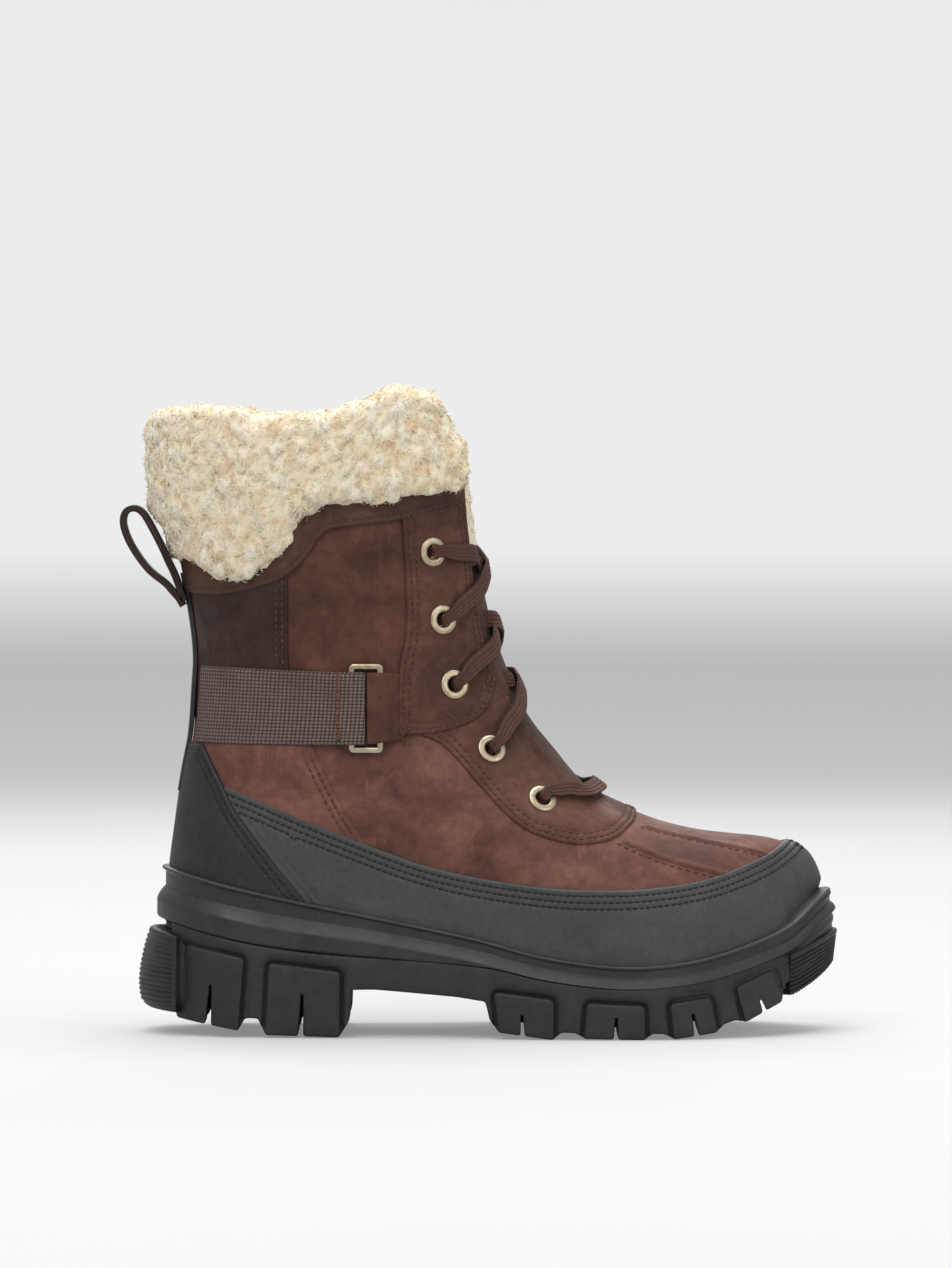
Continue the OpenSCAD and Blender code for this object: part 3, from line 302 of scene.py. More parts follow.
CUFF_LOW = spline([[-48, 196], [-31, 195], [-24, 192], [-17, 187], [-4.3, 188.3], [5.4, 193.2], [14.1, 201],
                   [19, 211.6], [26, 216.5], [44.3, 218], [58.7, 220], [73.4, 222], [96, 228]], 80)
EYESTAY_FRONT = spline([[83.4, 230], [84.6, 213], [85.8, 201], [88.4, 180.6], [93, 158], [96.6, 147],
                        [104, 135.3], [112.4, 122.8], [120.8, 111.7], [127, 105], [132.4, 101.3]], 100)
EYESTAY_SPLIT = spline([[97.5, 146], [94, 135], [87, 128.8], [73, 124.8], [58, 124], [50, 121]], 40)
UPPER_EYESTAY_REAR = spline([[58.7, 222], [60.8, 182.5], [60.6, 165], [58.4, 154], [57.6, 144],
                             [57.6, 120]], 50)
LOWER_EYESTAY_OUTER = spline([[67, 124.2], [75, 120.6], [82.2, 113.7], [90.8, 103.8], [100.6, 93.1],
                              [110.2, 85.3], [123, 80.5], [134.5, 79.1], [146.3, 81.4], [153, 86.3],
                              [156.5, 91], [158.5, 99]], 80)
EYELETS = np.array([[71.1, 199.4], [75.2, 171.4], [80.1, 144.6], [95.8, 117.8], [116.6, 97.2]])
STRAP_HALF = 15.2
RING_AT = np.array([44.6, 135.4])


def between_z(P, lo, hi):
    return P[(P[:, 1] > lo) & (P[:, 1] < hi)]


# ---------- making objects ----------

PIECES = {}


def new_object(name, verts, faces, material, body="boot", nodes=(), uv=None):
    """verts in mm. faces is a list or array of index tuples. uv gives one (u, v) to each vertex."""
    mesh = bpy.data.meshes.new(name)
    faces = faces if isinstance(faces, list) else faces.tolist()
    mesh.from_pydata((np.asarray(verts, float) * MM).tolist(), [], faces)
    mesh.validate()
    mesh.shade_smooth()
    if uv is not None:
        layer = mesh.uv_layers.new(name="UVMap")
        index = np.empty(len(mesh.loops), int)
        mesh.loops.foreach_get("vertex_index", index)
        layer.data.foreach_set("uv", np.asarray(uv, np.float32)[index].ravel())
    mesh.materials.append(material)
    obj = bpy.data.objects.new(name, mesh)
    bpy.context.collection.objects.link(obj)
    PIECES[name] = (obj, body, nodes)
    return obj


def set_tip(obj, values):
    """Gives each vertex its share of light in the pile: 0 deep between the clumps, 1 at the tips."""
    obj.data.attributes.new("tip", "FLOAT", "POINT").data.foreach_set("value", values.astype(np.float32))


def finish_pieces():
    for obj, body, nodes in PIECES.values():
        if body:
            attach(obj, body)
        if nodes:
            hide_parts(*nodes)


def inside_polygon(P, polygon):
    x, y = P[:, 0][:, None], P[:, 1][:, None]
    x0, y0 = polygon[:, 0][None], polygon[:, 1][None]
    x1, y1 = np.roll(polygon[:, 0], -1)[None], np.roll(polygon[:, 1], -1)[None]
    with np.errstate(divide="ignore", invalid="ignore"):
        crosses = ((y0 > y) != (y1 > y)) & (x < (x1 - x0) * (y - y0) / (y1 - y0) + x0)
    return crosses.sum(1) % 2 == 1


def segment_distance(P, A, B):
    """Distance from each point of P to the nearest of the segments A-B."""
    best = np.full(len(P), 1e9)
    AB = B - A
    L2 = np.maximum((AB * AB).sum(1), 1e-12)
    for k in range(0, len(P), 400):
        Q = P[k:k + 400, None] - A[None]
        t = np.clip((Q * AB[None]).sum(2) / L2[None], 0, 1)
        d = np.linalg.norm(Q - t[..., None] * AB[None], axis=2)
        best[k:k + 400] = d.min(1)
    return best


def on_border(UV):
    """True for grid coordinates on the front line or on the back line."""
    L = side_length(UV[:, 0], UV[:, 1])
    return (np.abs(UV[:, 1]) < 0.02) | (np.abs(UV[:, 1]) > L - 0.02)


HOLE_SIDES = 20
GROOVE, GROOVE_HALF = 0.34, 0.45
SKIRT = 0.9


def panel(name, polygons, height, material, nodes=(), thick=1.2, roll=1.0, grooves=(), holes=(), spacing=2.0,
          body="boot", puff=0.0):
    """A leather panel on the upper. polygons is a list of (side-view outline, side). Its outer face is height
    above the base surface, puff more in its middle, and rolls down by thick over the last roll mm."""
    loops = sorted([0.06, 0.2, 0.45, roll] + [g + e for g in grooves for e in (-0.55, 0, 0.55)])
    points, edges, grids, starts, ends = [], [], [], [], []
    for outline, side in polygons:
        closed = even(np.vstack([outline, outline[:1]]), 1.2)[:-1]
        UV = place(closed, side)
        keep = np.linalg.norm(UV - np.roll(UV, 1, axis=0), axis=1) > 0.02
        UV = UV[keep]
        n = len(UV)
        base = len(points)
        points += [tuple(p) for p in UV]
        edges += [(base + i, base + (i + 1) % n) for i in range(n)]
        flat = on_border(UV)
        drop = flat & np.roll(flat, -1)
        P, N = sample(UV[:, 0], UV[:, 1])
        Pn = np.roll(P, -1, axis=0)
        starts.append(P[~drop])
        ends.append(Pn[~drop])
        area = 0.5 * np.sum(UV[:, 0] * np.roll(UV[:, 1], -1) - np.roll(UV[:, 0], -1) * UV[:, 1])
        T = np.roll(P, -1, axis=0) - np.roll(P, 1, axis=0)
        T /= np.maximum(np.linalg.norm(T, axis=1, keepdims=True), 1e-9)
        inward = np.cross(N, T)
        probe = shift(UV, inward * 0.3)
        tangent = np.roll(UV, -1, axis=0) - np.roll(UV, 1, axis=0)
        left = (tangent[:, 0] * (probe - UV)[:, 1] - tangent[:, 1] * (probe - UV)[:, 0]) * np.sign(area)
        if np.median(left[~drop]) < 0:
            inward = -inward
        live = ~(drop & np.roll(drop, 1))
        grids.append((UV, side))
        for d in loops:
            Q = shift(UV, inward * d)
            Q[:, 1] = np.minimum(Q[:, 1], 0.0) if side < 0 else np.maximum(Q[:, 1], 0.0)
            ok = live & inside_polygon(Q, UV)
            Q3, _ = sample(Q[:, 0], Q[:, 1])
            ok &= segment_distance(Q3, P[~drop], Pn[~drop]) > 0.8 * d
            index = np.full(n, -1)
            for i in np.nonzero(ok)[0]:
                index[i] = len(points)
                points.append(tuple(Q[i]))
            for i in range(n):
                j = (i + 1) % n
                if index[i] >= 0 and index[j] >= 0:
                    edges.append((index[i], index[j]))
    starts, ends = np.vstack(starts), np.vstack(ends)
    near = loops[-1] + 0.5 * spacing
    for UV, side in grids:
        lo, hi = UV.min(0), UV.max(0)
        us = np.arange(math.floor(lo[0] / spacing), math.ceil(hi[0] / spacing) + 1) * spacing
        vs = np.arange(math.floor(lo[1] / spacing), math.ceil(hi[1] / spacing) + 1) * spacing
        M = np.array(np.meshgrid(us, vs)).reshape(2, -1).T
        M = M[inside_polygon(M, UV)]
        if not len(M):
            continue
        L = side_length(M[:, 0], M[:, 1])
        M = M[(np.abs(M[:, 1]) > 0.5 * spacing) & (np.abs(M[:, 1]) < L - 0.5 * spacing)]
        M3, _ = sample(M[:, 0], M[:, 1])
        M = M[segment_distance(M3, starts, ends) > near]
        points += [tuple(p) for p in M]
    centres = []
    for xz, side, radius in holes:
        c = place(np.array([xz]), side)
        C, N = sample(c[:, 0], c[:, 1])
        up = np.cross(N[0], [0, 1, 0])
        up /= np.linalg.norm(up)
        across = np.cross(N[0], up)
        turn = np.linspace(0, 2 * np.pi, HOLE_SIDES, endpoint=False)[:, None]
        ring = shift(np.repeat(c, HOLE_SIDES, 0), radius * (np.cos(turn) * up + np.sin(turn) * across))
        base = len(points)
        points += [tuple(p) for p in ring]
        edges += [(base + i, base + (i + 1) % HOLE_SIDES) for i in range(HOLE_SIDES)]
        centres.append((C[0], radius))
    co, _, tris, _, _, _ = delaunay_2d_cdt([Vector(p) for p in points], edges, [], 1, 0.004)
    UV = np.array([tuple(c) for c in co])
    tris = np.array([tuple(t) for t in tris])
    P, N = sample(UV[:, 0], UV[:, 1])
    middle = UV[tris].mean(1)
    keep = np.zeros(len(tris), bool)
    for polygon, side in grids:
        keep |= inside_polygon(middle, polygon)
    M3 = P[tris].mean(1)
    for C, radius in centres:
        keep &= np.linalg.norm(M3 - C, axis=1) > radius * 0.98
    tris = tris[keep]
    d = segment_distance(P, starts, ends)
    t = np.clip(d / roll, 0, 1)
    h = height - thick * (1 - np.sqrt(np.maximum(0, 1 - (1 - t) ** 2)))
    for g in grooves:
        h -= GROOVE * np.exp(-((d - g) / GROOVE_HALF) ** 2)
    h += puff * (1 - np.exp(-np.maximum(d - 2, 0) / 7))
    h += undulation(P)
    verts = P + N * h[:, None]
    # weld the two sides along the front and back lines
    key = np.round(P / 0.02).astype(int)
    _, first, inverse = np.unique(key, axis=0, return_index=True, return_inverse=True)
    tris = inverse.ravel()[tris]
    verts, N = verts[first], N[first]
    tris = tris[(tris[:, 0] != tris[:, 1]) & (tris[:, 1] != tris[:, 2]) & (tris[:, 0] != tris[:, 2])]
    edge = np.vstack([tris[:, [0, 1]], tris[:, [1, 2]], tris[:, [2, 0]]])
    found = {}
    for a, b in edge.tolist():
        if (b, a) in found:
            del found[(b, a)]
        else:
            found[(a, b)] = True
    rim = sorted({i for e in found for i in e})
    lower = {v: len(verts) + k for k, v in enumerate(rim)}
    verts = np.vstack([verts, verts[rim] - N[rim] * SKIRT])
    faces = tris.tolist() + [[b, a, lower[a], lower[b]] for a, b in found]
    n0 = np.cross(verts[tris[:, 1]] - verts[tris[:, 0]], verts[tris[:, 2]] - verts[tris[:, 0]])
    if (n0 * N[tris[:, 0]]).sum() < 0:
        faces = [f[::-1] for f in faces]
    return new_object(name, verts, faces, material, body, nodes)


# ---------- stitches ----------

STITCHES = {"brown": [[], []], "black": [[], []], "rust": [[], []]}
THREAD_SIDES = 6


def capsule(A, B, N, radius, colour):
    """One stitch from A to B, lying on a surface with normal N."""
    T = B - A
    L = np.linalg.norm(T)
    T = T / L
    W = np.cross(N, T)
    W /= np.linalg.norm(W)
    verts, faces = STITCHES[colour]
    base = len(verts)
    profile = [(0.0, 0.35, -0.35), (0.12, 0.8, -0.1), (0.5, 1.0, 0.08), (0.88, 0.8, -0.1), (1.0, 0.35, -0.35)]
    for s, k, lift in profile:
        C = A + T * (s * L) + N * (lift * radius * 1.6)
        for i in range(THREAD_SIDES):
            ang = 2 * math.pi * i / THREAD_SIDES
            verts.append(C + (W * math.cos(ang) + N * math.sin(ang) * 0.8) * radius * k)
    for r in range(len(profile) - 1):
        for i in range(THREAD_SIDES):
            j = (i + 1) % THREAD_SIDES
            faces.append([base + r * THREAD_SIDES + i, base + r * THREAD_SIDES + j,
                          base + (r + 1) * THREAD_SIDES + j, base + (r + 1) * THREAD_SIDES + i])
    faces.append([base + i for i in range(THREAD_SIDES)][::-1])
    faces.append([base + (len(profile) - 1) * THREAD_SIDES + i for i in range(THREAD_SIDES)])


def seam(line, side, offset, height, colour="brown", pitch=3.0, length=2.3, radius=0.42):
    """A row of stitches along a side-view line, moved sideways by offset: positive is to the left of the
    line's direction seen from outside that side."""
    UV = place(even(line, 0.8), side)
    UV = UV[np.concatenate([[True], np.linalg.norm(np.diff(UV, axis=0), axis=1) > 0.05])]
    P, N = sample(UV[:, 0], UV[:, 1])
    at = np.arange(len(P))
    T = P[np.minimum(at + 4, len(P) - 1)] - P[np.maximum(at - 4, 0)]
    T /= np.maximum(np.linalg.norm(T, axis=1, keepdims=True), 1e-9)
    UV = shift(UV, np.cross(N, T) * offset)
    UV = UV[~on_border(UV)]
    P, N = sample(UV[:, 0], UV[:, 1])
    P = P + N * (height + undulation(P))[:, None]
    d = arc_length(P)
    for k in range(int(d[-1] / pitch)):
        start = k * pitch + 0.3 + RNG.uniform(-0.12, 0.12)
        a, b = along(P, d, start), along(P, d, start + length)
        m = along(N, d, start + length / 2)
        if 0.6 * length <= np.linalg.norm(b - a) <= 1.5 * length:
            capsule(a, b, m / np.linalg.norm(m), radius, colour)


# ---------- materials ----------

class Nodes:
    """A material being built: each call adds a node and returns its output socket."""

    def __init__(self, name, roughness=0.6):
        self.material = bpy.data.materials.new(name)
        self.material.use_nodes = True
        self.tree = self.material.node_tree
        self.shader = self.tree.nodes["Principled BSDF"]
        self.shader.inputs["Roughness"].default_value = roughness
        self.coords = self.tree.nodes.new("ShaderNodeTexCoord").outputs["Object"]

    def add(self, kind, settings=None, **inputs):
        node = self.tree.nodes.new(kind)
        for key, value in (settings or {}).items():
            setattr(node, key, value)
        for key, value in inputs.items():
            socket = node.inputs[int(key[1:])] if key[0] == "i" and key[1:].isdigit() else node.inputs[key]
            if isinstance(value, bpy.types.NodeSocket):
                self.tree.links.new(value, socket)
            else:
                socket.default_value = value
        return node

    def noise(self, scale, detail=4.0, rough=0.55, stretch=None, distortion=0.0):
        vector = self.coords
        if stretch:
            vector = self.add("ShaderNodeMapping", i0=vector, Scale=stretch).outputs[0]
        return self.add("ShaderNodeTexNoise", Vector=vector, Scale=scale, Detail=detail, Roughness=rough,
                        Distortion=distortion).outputs["Fac"]

    def ramp(self, value, stops):
        node = self.add("ShaderNodeValToRGB", i0=value)
        band = node.color_ramp
        while len(band.elements) < len(stops):
            band.elements.new(0.5)
        for element, (at, colour) in zip(band.elements, stops):
            element.position = at
            element.color = (*colour, 1) if hasattr(colour, "__len__") else (colour, colour, colour, 1)
        return node.outputs["Color"]

    def mix(self, fac, a, b, blend="MIX"):
        node = self.add("ShaderNodeMix", {"data_type": "RGBA", "blend_type": blend})
        for socket, value in ((node.inputs[0], fac), (node.inputs[6], a), (node.inputs[7], b)):
            if isinstance(value, bpy.types.NodeSocket):
                self.tree.links.new(value, socket)
            else:
                socket.default_value = (*value, 1) if hasattr(value, "__len__") else value
        return node.outputs[2]

    def maths(self, operation, a, b=0.0):
        return self.add("ShaderNodeMath", {"operation": operation}, i0=a, i1=b).outputs[0]

    def remap(self, value, a, b, c, d):
        return self.add("ShaderNodeMapRange", i0=value, i1=a, i2=b, i3=c, i4=d).outputs[0]

    def bump(self, height, strength, distance, below=None):
        node = self.add("ShaderNodeBump", Strength=strength, Distance=distance, Height=height)
        if below is not None:
            self.tree.links.new(below, node.inputs["Normal"])
        return node.outputs[0]

    def finish(self, colour=None, rough=None, normal=None, **values):
        for key, socket in (("Base Color", colour), ("Roughness", rough), ("Normal", normal)):
            if socket is not None:
                self.tree.links.new(socket, self.shader.inputs[key])
        for key, value in values.items():
            self.shader.inputs[key.replace("_", " ")].default_value = value
        return self.material


def leather(name, dark, mid, light, rough=(0.5, 0.75), scuff=0.35):
    m = Nodes(name)
    broad = m.noise(28, 5, 0.6, stretch=(1, 1, 1.3), distortion=0.6)
    fine = m.noise(240, 5, 0.65)
    tone = m.maths("ADD", m.maths("MULTIPLY", broad, 0.7), m.maths("MULTIPLY", fine, 0.3))
    colour = m.ramp(tone, [(0.36, dark), (0.5, mid), (0.66, light)])
    # scuffs: pale drifts where the nap has been rubbed up, and short dark scratches
    rub = m.remap(m.noise(60, 6, 0.7, stretch=(1, 1, 0.6), distortion=1.2), 0.56, 0.72, 0.0, scuff)
    colour = m.mix(rub, colour, tuple(min(1, 1.55 * c + 0.012) for c in light))
    scratch = m.remap(m.noise(90, 3, 0.5, stretch=(0.35, 1, 2.4), distortion=2.0), 0.66, 0.7, 0.0, 0.35)
    colour = m.mix(scratch, colour, dark)
    roughness = m.remap(m.noise(75, 4), 0.3, 0.7, rough[0], rough[1])
    grain = m.noise(1500, 3, 0.6)
    crease = m.noise(120, 5, 0.6, distortion=0.8)
    normal = m.bump(crease, 0.35, 0.0012)
    normal = m.bump(grain, 0.35, 0.00025, normal)
    return m.finish(colour, roughness, normal, **{"Specular IOR Level": 0.28})


def rubber(name, dark, light, rough=(0.45, 0.62), grain_scale=900, grain=0.3):
    m = Nodes(name)
    broad = m.noise(40, 5, 0.65, distortion=0.5)
    fine = m.noise(420, 4, 0.7)
    tone = m.maths("ADD", m.maths("MULTIPLY", broad, 0.6), m.maths("MULTIPLY", fine, 0.4))
    colour = m.ramp(tone, [(0.38, dark), (0.64, light)])
    dust = m.remap(m.noise(150, 6, 0.75), 0.6, 0.78, 0.0, 0.3)
    colour = m.mix(dust, colour, tuple(1.8 * c + 0.01 for c in light))
    roughness = m.remap(m.noise(60, 4), 0.3, 0.7, rough[0], rough[1])
    normal = m.bump(m.noise(grain_scale, 3, 0.6), grain, 0.0004)
    return m.finish(colour, roughness, normal, **{"Specular IOR Level": 0.45})


def thread(name, dark, light):
    m = Nodes(name, 0.7)
    colour = m.ramp(m.noise(900, 3), [(0.35, dark), (0.65, light)])
    twist = m.noise(2600, 2, 0.5, stretch=(1, 1, 2))
    return m.finish(colour, None, m.bump(twist, 0.5, 0.0002))


def metal(name, dark, light, rough=(0.28, 0.5)):
    m = Nodes(name)
    colour = m.ramp(m.noise(220, 5, 0.7), [(0.35, dark), (0.65, light)])
    roughness = m.remap(m.noise(500, 4, 0.7), 0.3, 0.7, rough[0], rough[1])
    normal = m.bump(m.noise(1400, 3), 0.12, 0.0002)
    return m.finish(colour, roughness, normal, Metallic=0.9)


def wool(name, shade, mid, light):
    m = Nodes(name, 0.85)
    colour = m.ramp(m.noise(130, 5, 0.6), [(0.32, shade), (0.5, mid), (0.7, light)])
    depth = m.tree.nodes.new("ShaderNodeAttribute")
    depth.attribute_name = "tip"
    colour = m.mix(m.remap(depth.outputs["Fac"], 0.1, 0.75, 0.9, 0.0), colour, shade)
    normal = m.bump(m.noise(900, 4, 0.7), 0.6, 0.0009)
    return m.finish(colour, None, normal, Sheen_Weight=0.35, Sheen_Roughness=0.5, Subsurface_Weight=0.2,
                    Subsurface_Scale=0.003)


M = {
    "shaft_rear": leather("leather_shaft_rear", (0.0187, 0.0088, 0.0062), (0.0354, 0.0172, 0.0125),
                          (0.0624, 0.0312, 0.0229)),
    "shaft_centre": leather("leather_shaft_centre", (0.0493, 0.0179, 0.0112), (0.0851, 0.0325, 0.0213),
                            (0.14, 0.0582, 0.0403)),
    "eyestay": leather("leather_eyestay", (0.0504, 0.0189, 0.0115), (0.0882, 0.0347, 0.0231),
                       (0.147, 0.063, 0.0431)),
    "vamp": leather("leather_vamp", (0.0784, 0.0302, 0.0213), (0.1344, 0.0549, 0.0403),
                    (0.224, 0.1008, 0.0739)),
    "collar": leather("leather_collar", (0.038, 0.016, 0.011), (0.066, 0.029, 0.020), (0.105, 0.049, 0.035)),
    "tongue": leather("leather_tongue", (0.040, 0.021, 0.015), (0.075, 0.038, 0.028), (0.12, 0.065, 0.048),
                      scuff=0.2),
    "foxing": rubber("coated_foxing", (0.040, 0.040, 0.041), (0.070, 0.068, 0.068), grain_scale=700,
                     grain=0.35),
    "foxing_heel": rubber("coated_heel", (0.011, 0.011, 0.0119), (0.0272, 0.0272, 0.0281)),
    "sole": rubber("sole_rubber", (0.018, 0.018, 0.019), (0.034, 0.034, 0.035), rough=(0.36, 0.5)),
    "thread_brown": thread("thread_brown", (0.040, 0.014, 0.008), (0.125, 0.050, 0.028)),
    "thread_black": thread("thread_black", (0.004, 0.004, 0.004), (0.018, 0.018, 0.018)),
    "thread_rust": thread("thread_rust", (0.09, 0.03, 0.014), (0.22, 0.085, 0.04)),
    "brass": metal("antique_brass", (0.42, 0.34, 0.22), (0.66, 0.57, 0.42)),
    "wool": wool("shearling", (0.86, 0.66, 0.41), (0.99, 0.88, 0.68), (1.0, 0.96, 0.84)),
}

# ---------- upper: panels ----------


def two(outline):
    return [(outline, LATERAL), (outline, MEDIAL)]


HOLE_R = 3.6


def holes_for(rows, sides=BOTH):
    return [(tuple(EYELETS[k]), s, HOLE_R) for k in rows for s in sides]


SIDE_NAME = {LATERAL: "lateral", MEDIAL: "medial"}
STAY_H, STAY_UP_H, COLLAR_H, FOX_H, HEEL_H, REAR_H = 1.55, 2.15, 2.3, 1.8, 2.9, 1.1

quarter_low = QUARTER_SEAM[QUARTER_SEAM[:, 1] < 140]
seam_up = QUARTER_SEAM[QUARTER_SEAM[:, 1] > 125]
throat = EYESTAY_FRONT[EYESTAY_FRONT[:, 1] < 136]
under_cuff = CUFF_LOW[CUFF_LOW[:, 0] < 84]
rise = 7 - 5 * smooth((under_cuff[:, 0] - 66) / 14)
under_cuff = under_cuff + np.column_stack([0 * rise, rise])

panel("vamp", two(np.vstack([quarter_low + [-5, 0], [[68, 30], [240, 20], [260, 101.3]], throat[::-1],
                             [[104, 140], [60, 140]]])),
      0.0, M["vamp"], ["vamp"], thick=1.0, puff=0.35, holes=holes_for([3, 4]), spacing=1.8)
for s in BOTH:
    name = SIDE_NAME[s]
    panel("rear_quarter_" + name, [(np.vstack([[[-60, 140], [-60, 20], [68, 20]], quarter_low[::-1]]), s)],
          1.0, M["vamp"], ["rear_quarter_" + name], grooves=(2.6, 5.4), puff=0.3)
    panel("shaft_front_" + name,
          [(np.vstack([seam_up[seam_up[:, 1] < 200][::-1] + [-5, 0], [[7, 226], [82, 232]],
                       between_z(EYESTAY_FRONT, 133, 230)]), s)],
          0.0, M["shaft_centre"], ["shaft_front_" + name], holes=holes_for([0, 1, 2], [s]), puff=0.5)
    lid = CUFF_LOW[CUFF_LOW[:, 0] < 12.6] + [0, 8]
    panel("shaft_rear_" + name, [(np.vstack([[[-60, 120]], lid, seam_up[seam_up[:, 1] < 200]]), s)],
          REAR_H, M["shaft_rear"], ["shaft_rear_" + name], grooves=(2.4, 5.2), puff=0.4)
    panel("eyestay_upper_" + name,
          [(np.vstack([between_z(UPPER_EYESTAY_REAR, 122, 223),
                       EYESTAY_SPLIT[EYESTAY_SPLIT[:, 0] > 57.6][::-1],
                       between_z(EYESTAY_FRONT, 146.5, 226)[::-1]]), s)],
          STAY_UP_H, M["eyestay"], ["eyestay_upper_" + name], thick=1.4, grooves=(2.2, 4.8),
          holes=holes_for([0, 1, 2], [s]), puff=0.2, spacing=1.8)
    panel("collar_band_" + name,
          [(np.vstack([COLLAR_LOW[COLLAR_LOW[:, 0] < 84], under_cuff[::-1]]), s)],
          COLLAR_H, M["collar"], ["collar_band_" + name], thick=1.3, grooves=(2.6,))
split = EYESTAY_SPLIT[(EYESTAY_SPLIT[:, 0] > 62) & (EYESTAY_SPLIT[:, 1] < 146)]
panel("eyestay_lower", two(np.vstack([between_z(EYESTAY_FRONT, 100, 144), [[250, 101.3], [250, 97]],
                                      LOWER_EYESTAY_OUTER[::-1], split + [0, 6]])),
      STAY_H, M["eyestay"], ["eyestay_lower"], thick=1.3, grooves=(2.4, 5.2), holes=holes_for([3, 4]),
      spacing=1.8)

edge = HEEL_FOXING_EDGE[HEEL_FOXING_EDGE[:, 1] < 108]
panel("foxing_front", two(np.vstack([FOXING_TOP[FOXING_TOP[:, 0] > edge[0][0] - 4],
                                     [[260, 90], [260, 20], [40, 20]], edge[::-1] + [-4, 0]])),
      FOX_H, M["foxing"], ["foxing_front"], thick=1.4, grooves=(2.6, 5.2, 7.8), spacing=1.8)
panel("foxing_heel", two(np.vstack([[[-60, 119.6]], HEEL_FOXING_EDGE, [[24, 20], [-60, 20]]])),
      HEEL_H, M["foxing_heel"], ["foxing_heel"], thick=1.5, grooves=(2.4, 5.0), spacing=2.0)

for s in BOTH:
    left = -1 if s == LATERAL else 1
    for off in (2.6, 5.2, 7.8):
        seam(FOXING_TOP[FOXING_TOP[:, 0] > edge[0][0] + 1], s, off * left, FOX_H - 0.1, "black",
             pitch=2.7, length=2.25, radius=0.46)
    for off in (2.4, 5.0):
        seam(HEEL_FOXING_EDGE, s, off * left, HEEL_H - 0.1, "black", pitch=2.8, length=2.2, radius=0.42)
        for line in (UPPER_EYESTAY_REAR[::-1],
                     EYESTAY_FRONT[(EYESTAY_FRONT[:, 1] > 147) & (EYESTAY_FRONT[:, 1] < 222)],
                     EYESTAY_SPLIT[EYESTAY_SPLIT[:, 0] > 58]):
            seam(line, s, (off - 0.2) * left, STAY_UP_H - 0.05)
        seam(between_z(seam_up, 150, 190), s, off * left, REAR_H - 0.05)
        seam(between_z(quarter_low, 79 + off * 1.6, 118), s, off * left, 0.95)
        seam(LOWER_EYESTAY_OUTER, s, -off * left, STAY_H - 0.05)
    seam(COLLAR_LOW[(COLLAR_LOW[:, 0] > -30) & (COLLAR_LOW[:, 0] < 80)], s, -2.6 * left, COLLAR_H - 0.05)


# ---------- points on the surface, for small parts ----------

def skin(x, z, side, inset=0.0):
    w = float(half_width(np.array(x), np.array(z), side, inset))
    return np.array([x, float(centre_y(x)) + side * w, z])


def skin_normal(x, z, side):
    e = 0.5
    dx = skin(x + e, z, side) - skin(x - e, z, side)
    dz = skin(x, z + e, side) - skin(x, z - e, side)
    n = np.array([-side * dx[1], side * 2 * e, -side * dz[1]])
    return n / np.linalg.norm(n)


def lifted(x, z, side, lift):
    return skin(x, z, side) + lift * skin_normal(x, z, side)


def axes_at(x, z, side):
    """(origin, towards the toe, up, outwards) on the surface."""
    n = skin_normal(x, z, side)
    up = np.array([0, 0, 1.0]) - n[2] * n
    up /= np.linalg.norm(up)
    return skin(x, z, side), np.cross(up, n) * (1 if side < 0 else -1), up, n


def grid_faces(rows, cols, closed=False, base=0):
    faces = []
    for i in range(rows - 1):
        for j in range(cols if closed else cols - 1):
            k, here, above = (j + 1) % cols, base + i * cols, base + (i + 1) * cols
            faces.append([here + j, here + k, above + k, above + j])
    return faces


def tube(points, ups, section, scale=None):
    """Sweeps a closed section of (across, out) offsets along points. ups is the across direction at each."""
    P = np.asarray(points, float)
    T = np.gradient(P, axis=0)
    T /= np.linalg.norm(T, axis=1, keepdims=True)
    W = np.asarray(ups, float)
    W = W - (W * T).sum(1, keepdims=True) * T
    W /= np.linalg.norm(W, axis=1, keepdims=True)
    H = np.cross(T, W)
    S = np.asarray(section, float)
    k = np.ones(len(P)) if scale is None else np.asarray(scale)
    verts = P[:, None] + W[:, None] * S[None, :, :1] * k[:, None, None] + H[:, None] * S[None, :, 1:2]
    n = len(S)
    faces = grid_faces(len(P), n, True)
    faces.append(list(range(n))[::-1])
    faces.append([(len(P) - 1) * n + i for i in range(n)])
    return verts.reshape(-1, 3), faces, n


# ---------- backstay, pull loop ----------

def build_backstay(z0, z1, half, height, rows=60, cols=21):
    """A strip up the back line, half wide on each side, its outer face height behind the base surface."""
    verts = []
    for z in np.linspace(z0, z1, rows):
        for t in np.linspace(-1, 1, cols):
            y = t * half
            x = curve(z, BACK) + curve(z, BACK_ROUND) * (1 - math.sqrt(1 - (y / 38.0) ** 2))
            edge = 1 - math.sqrt(max(0, 1 - max(0, (abs(t) * half - half + 0.9) / 0.9) ** 2))
            verts.append([x - height + 1.3 * edge, y, z])
    new_object("backstay", verts, grid_faces(rows, cols), M["foxing_heel"], "boot", ["backstay"])


build_backstay(100, 190, 6.5, 3.4)

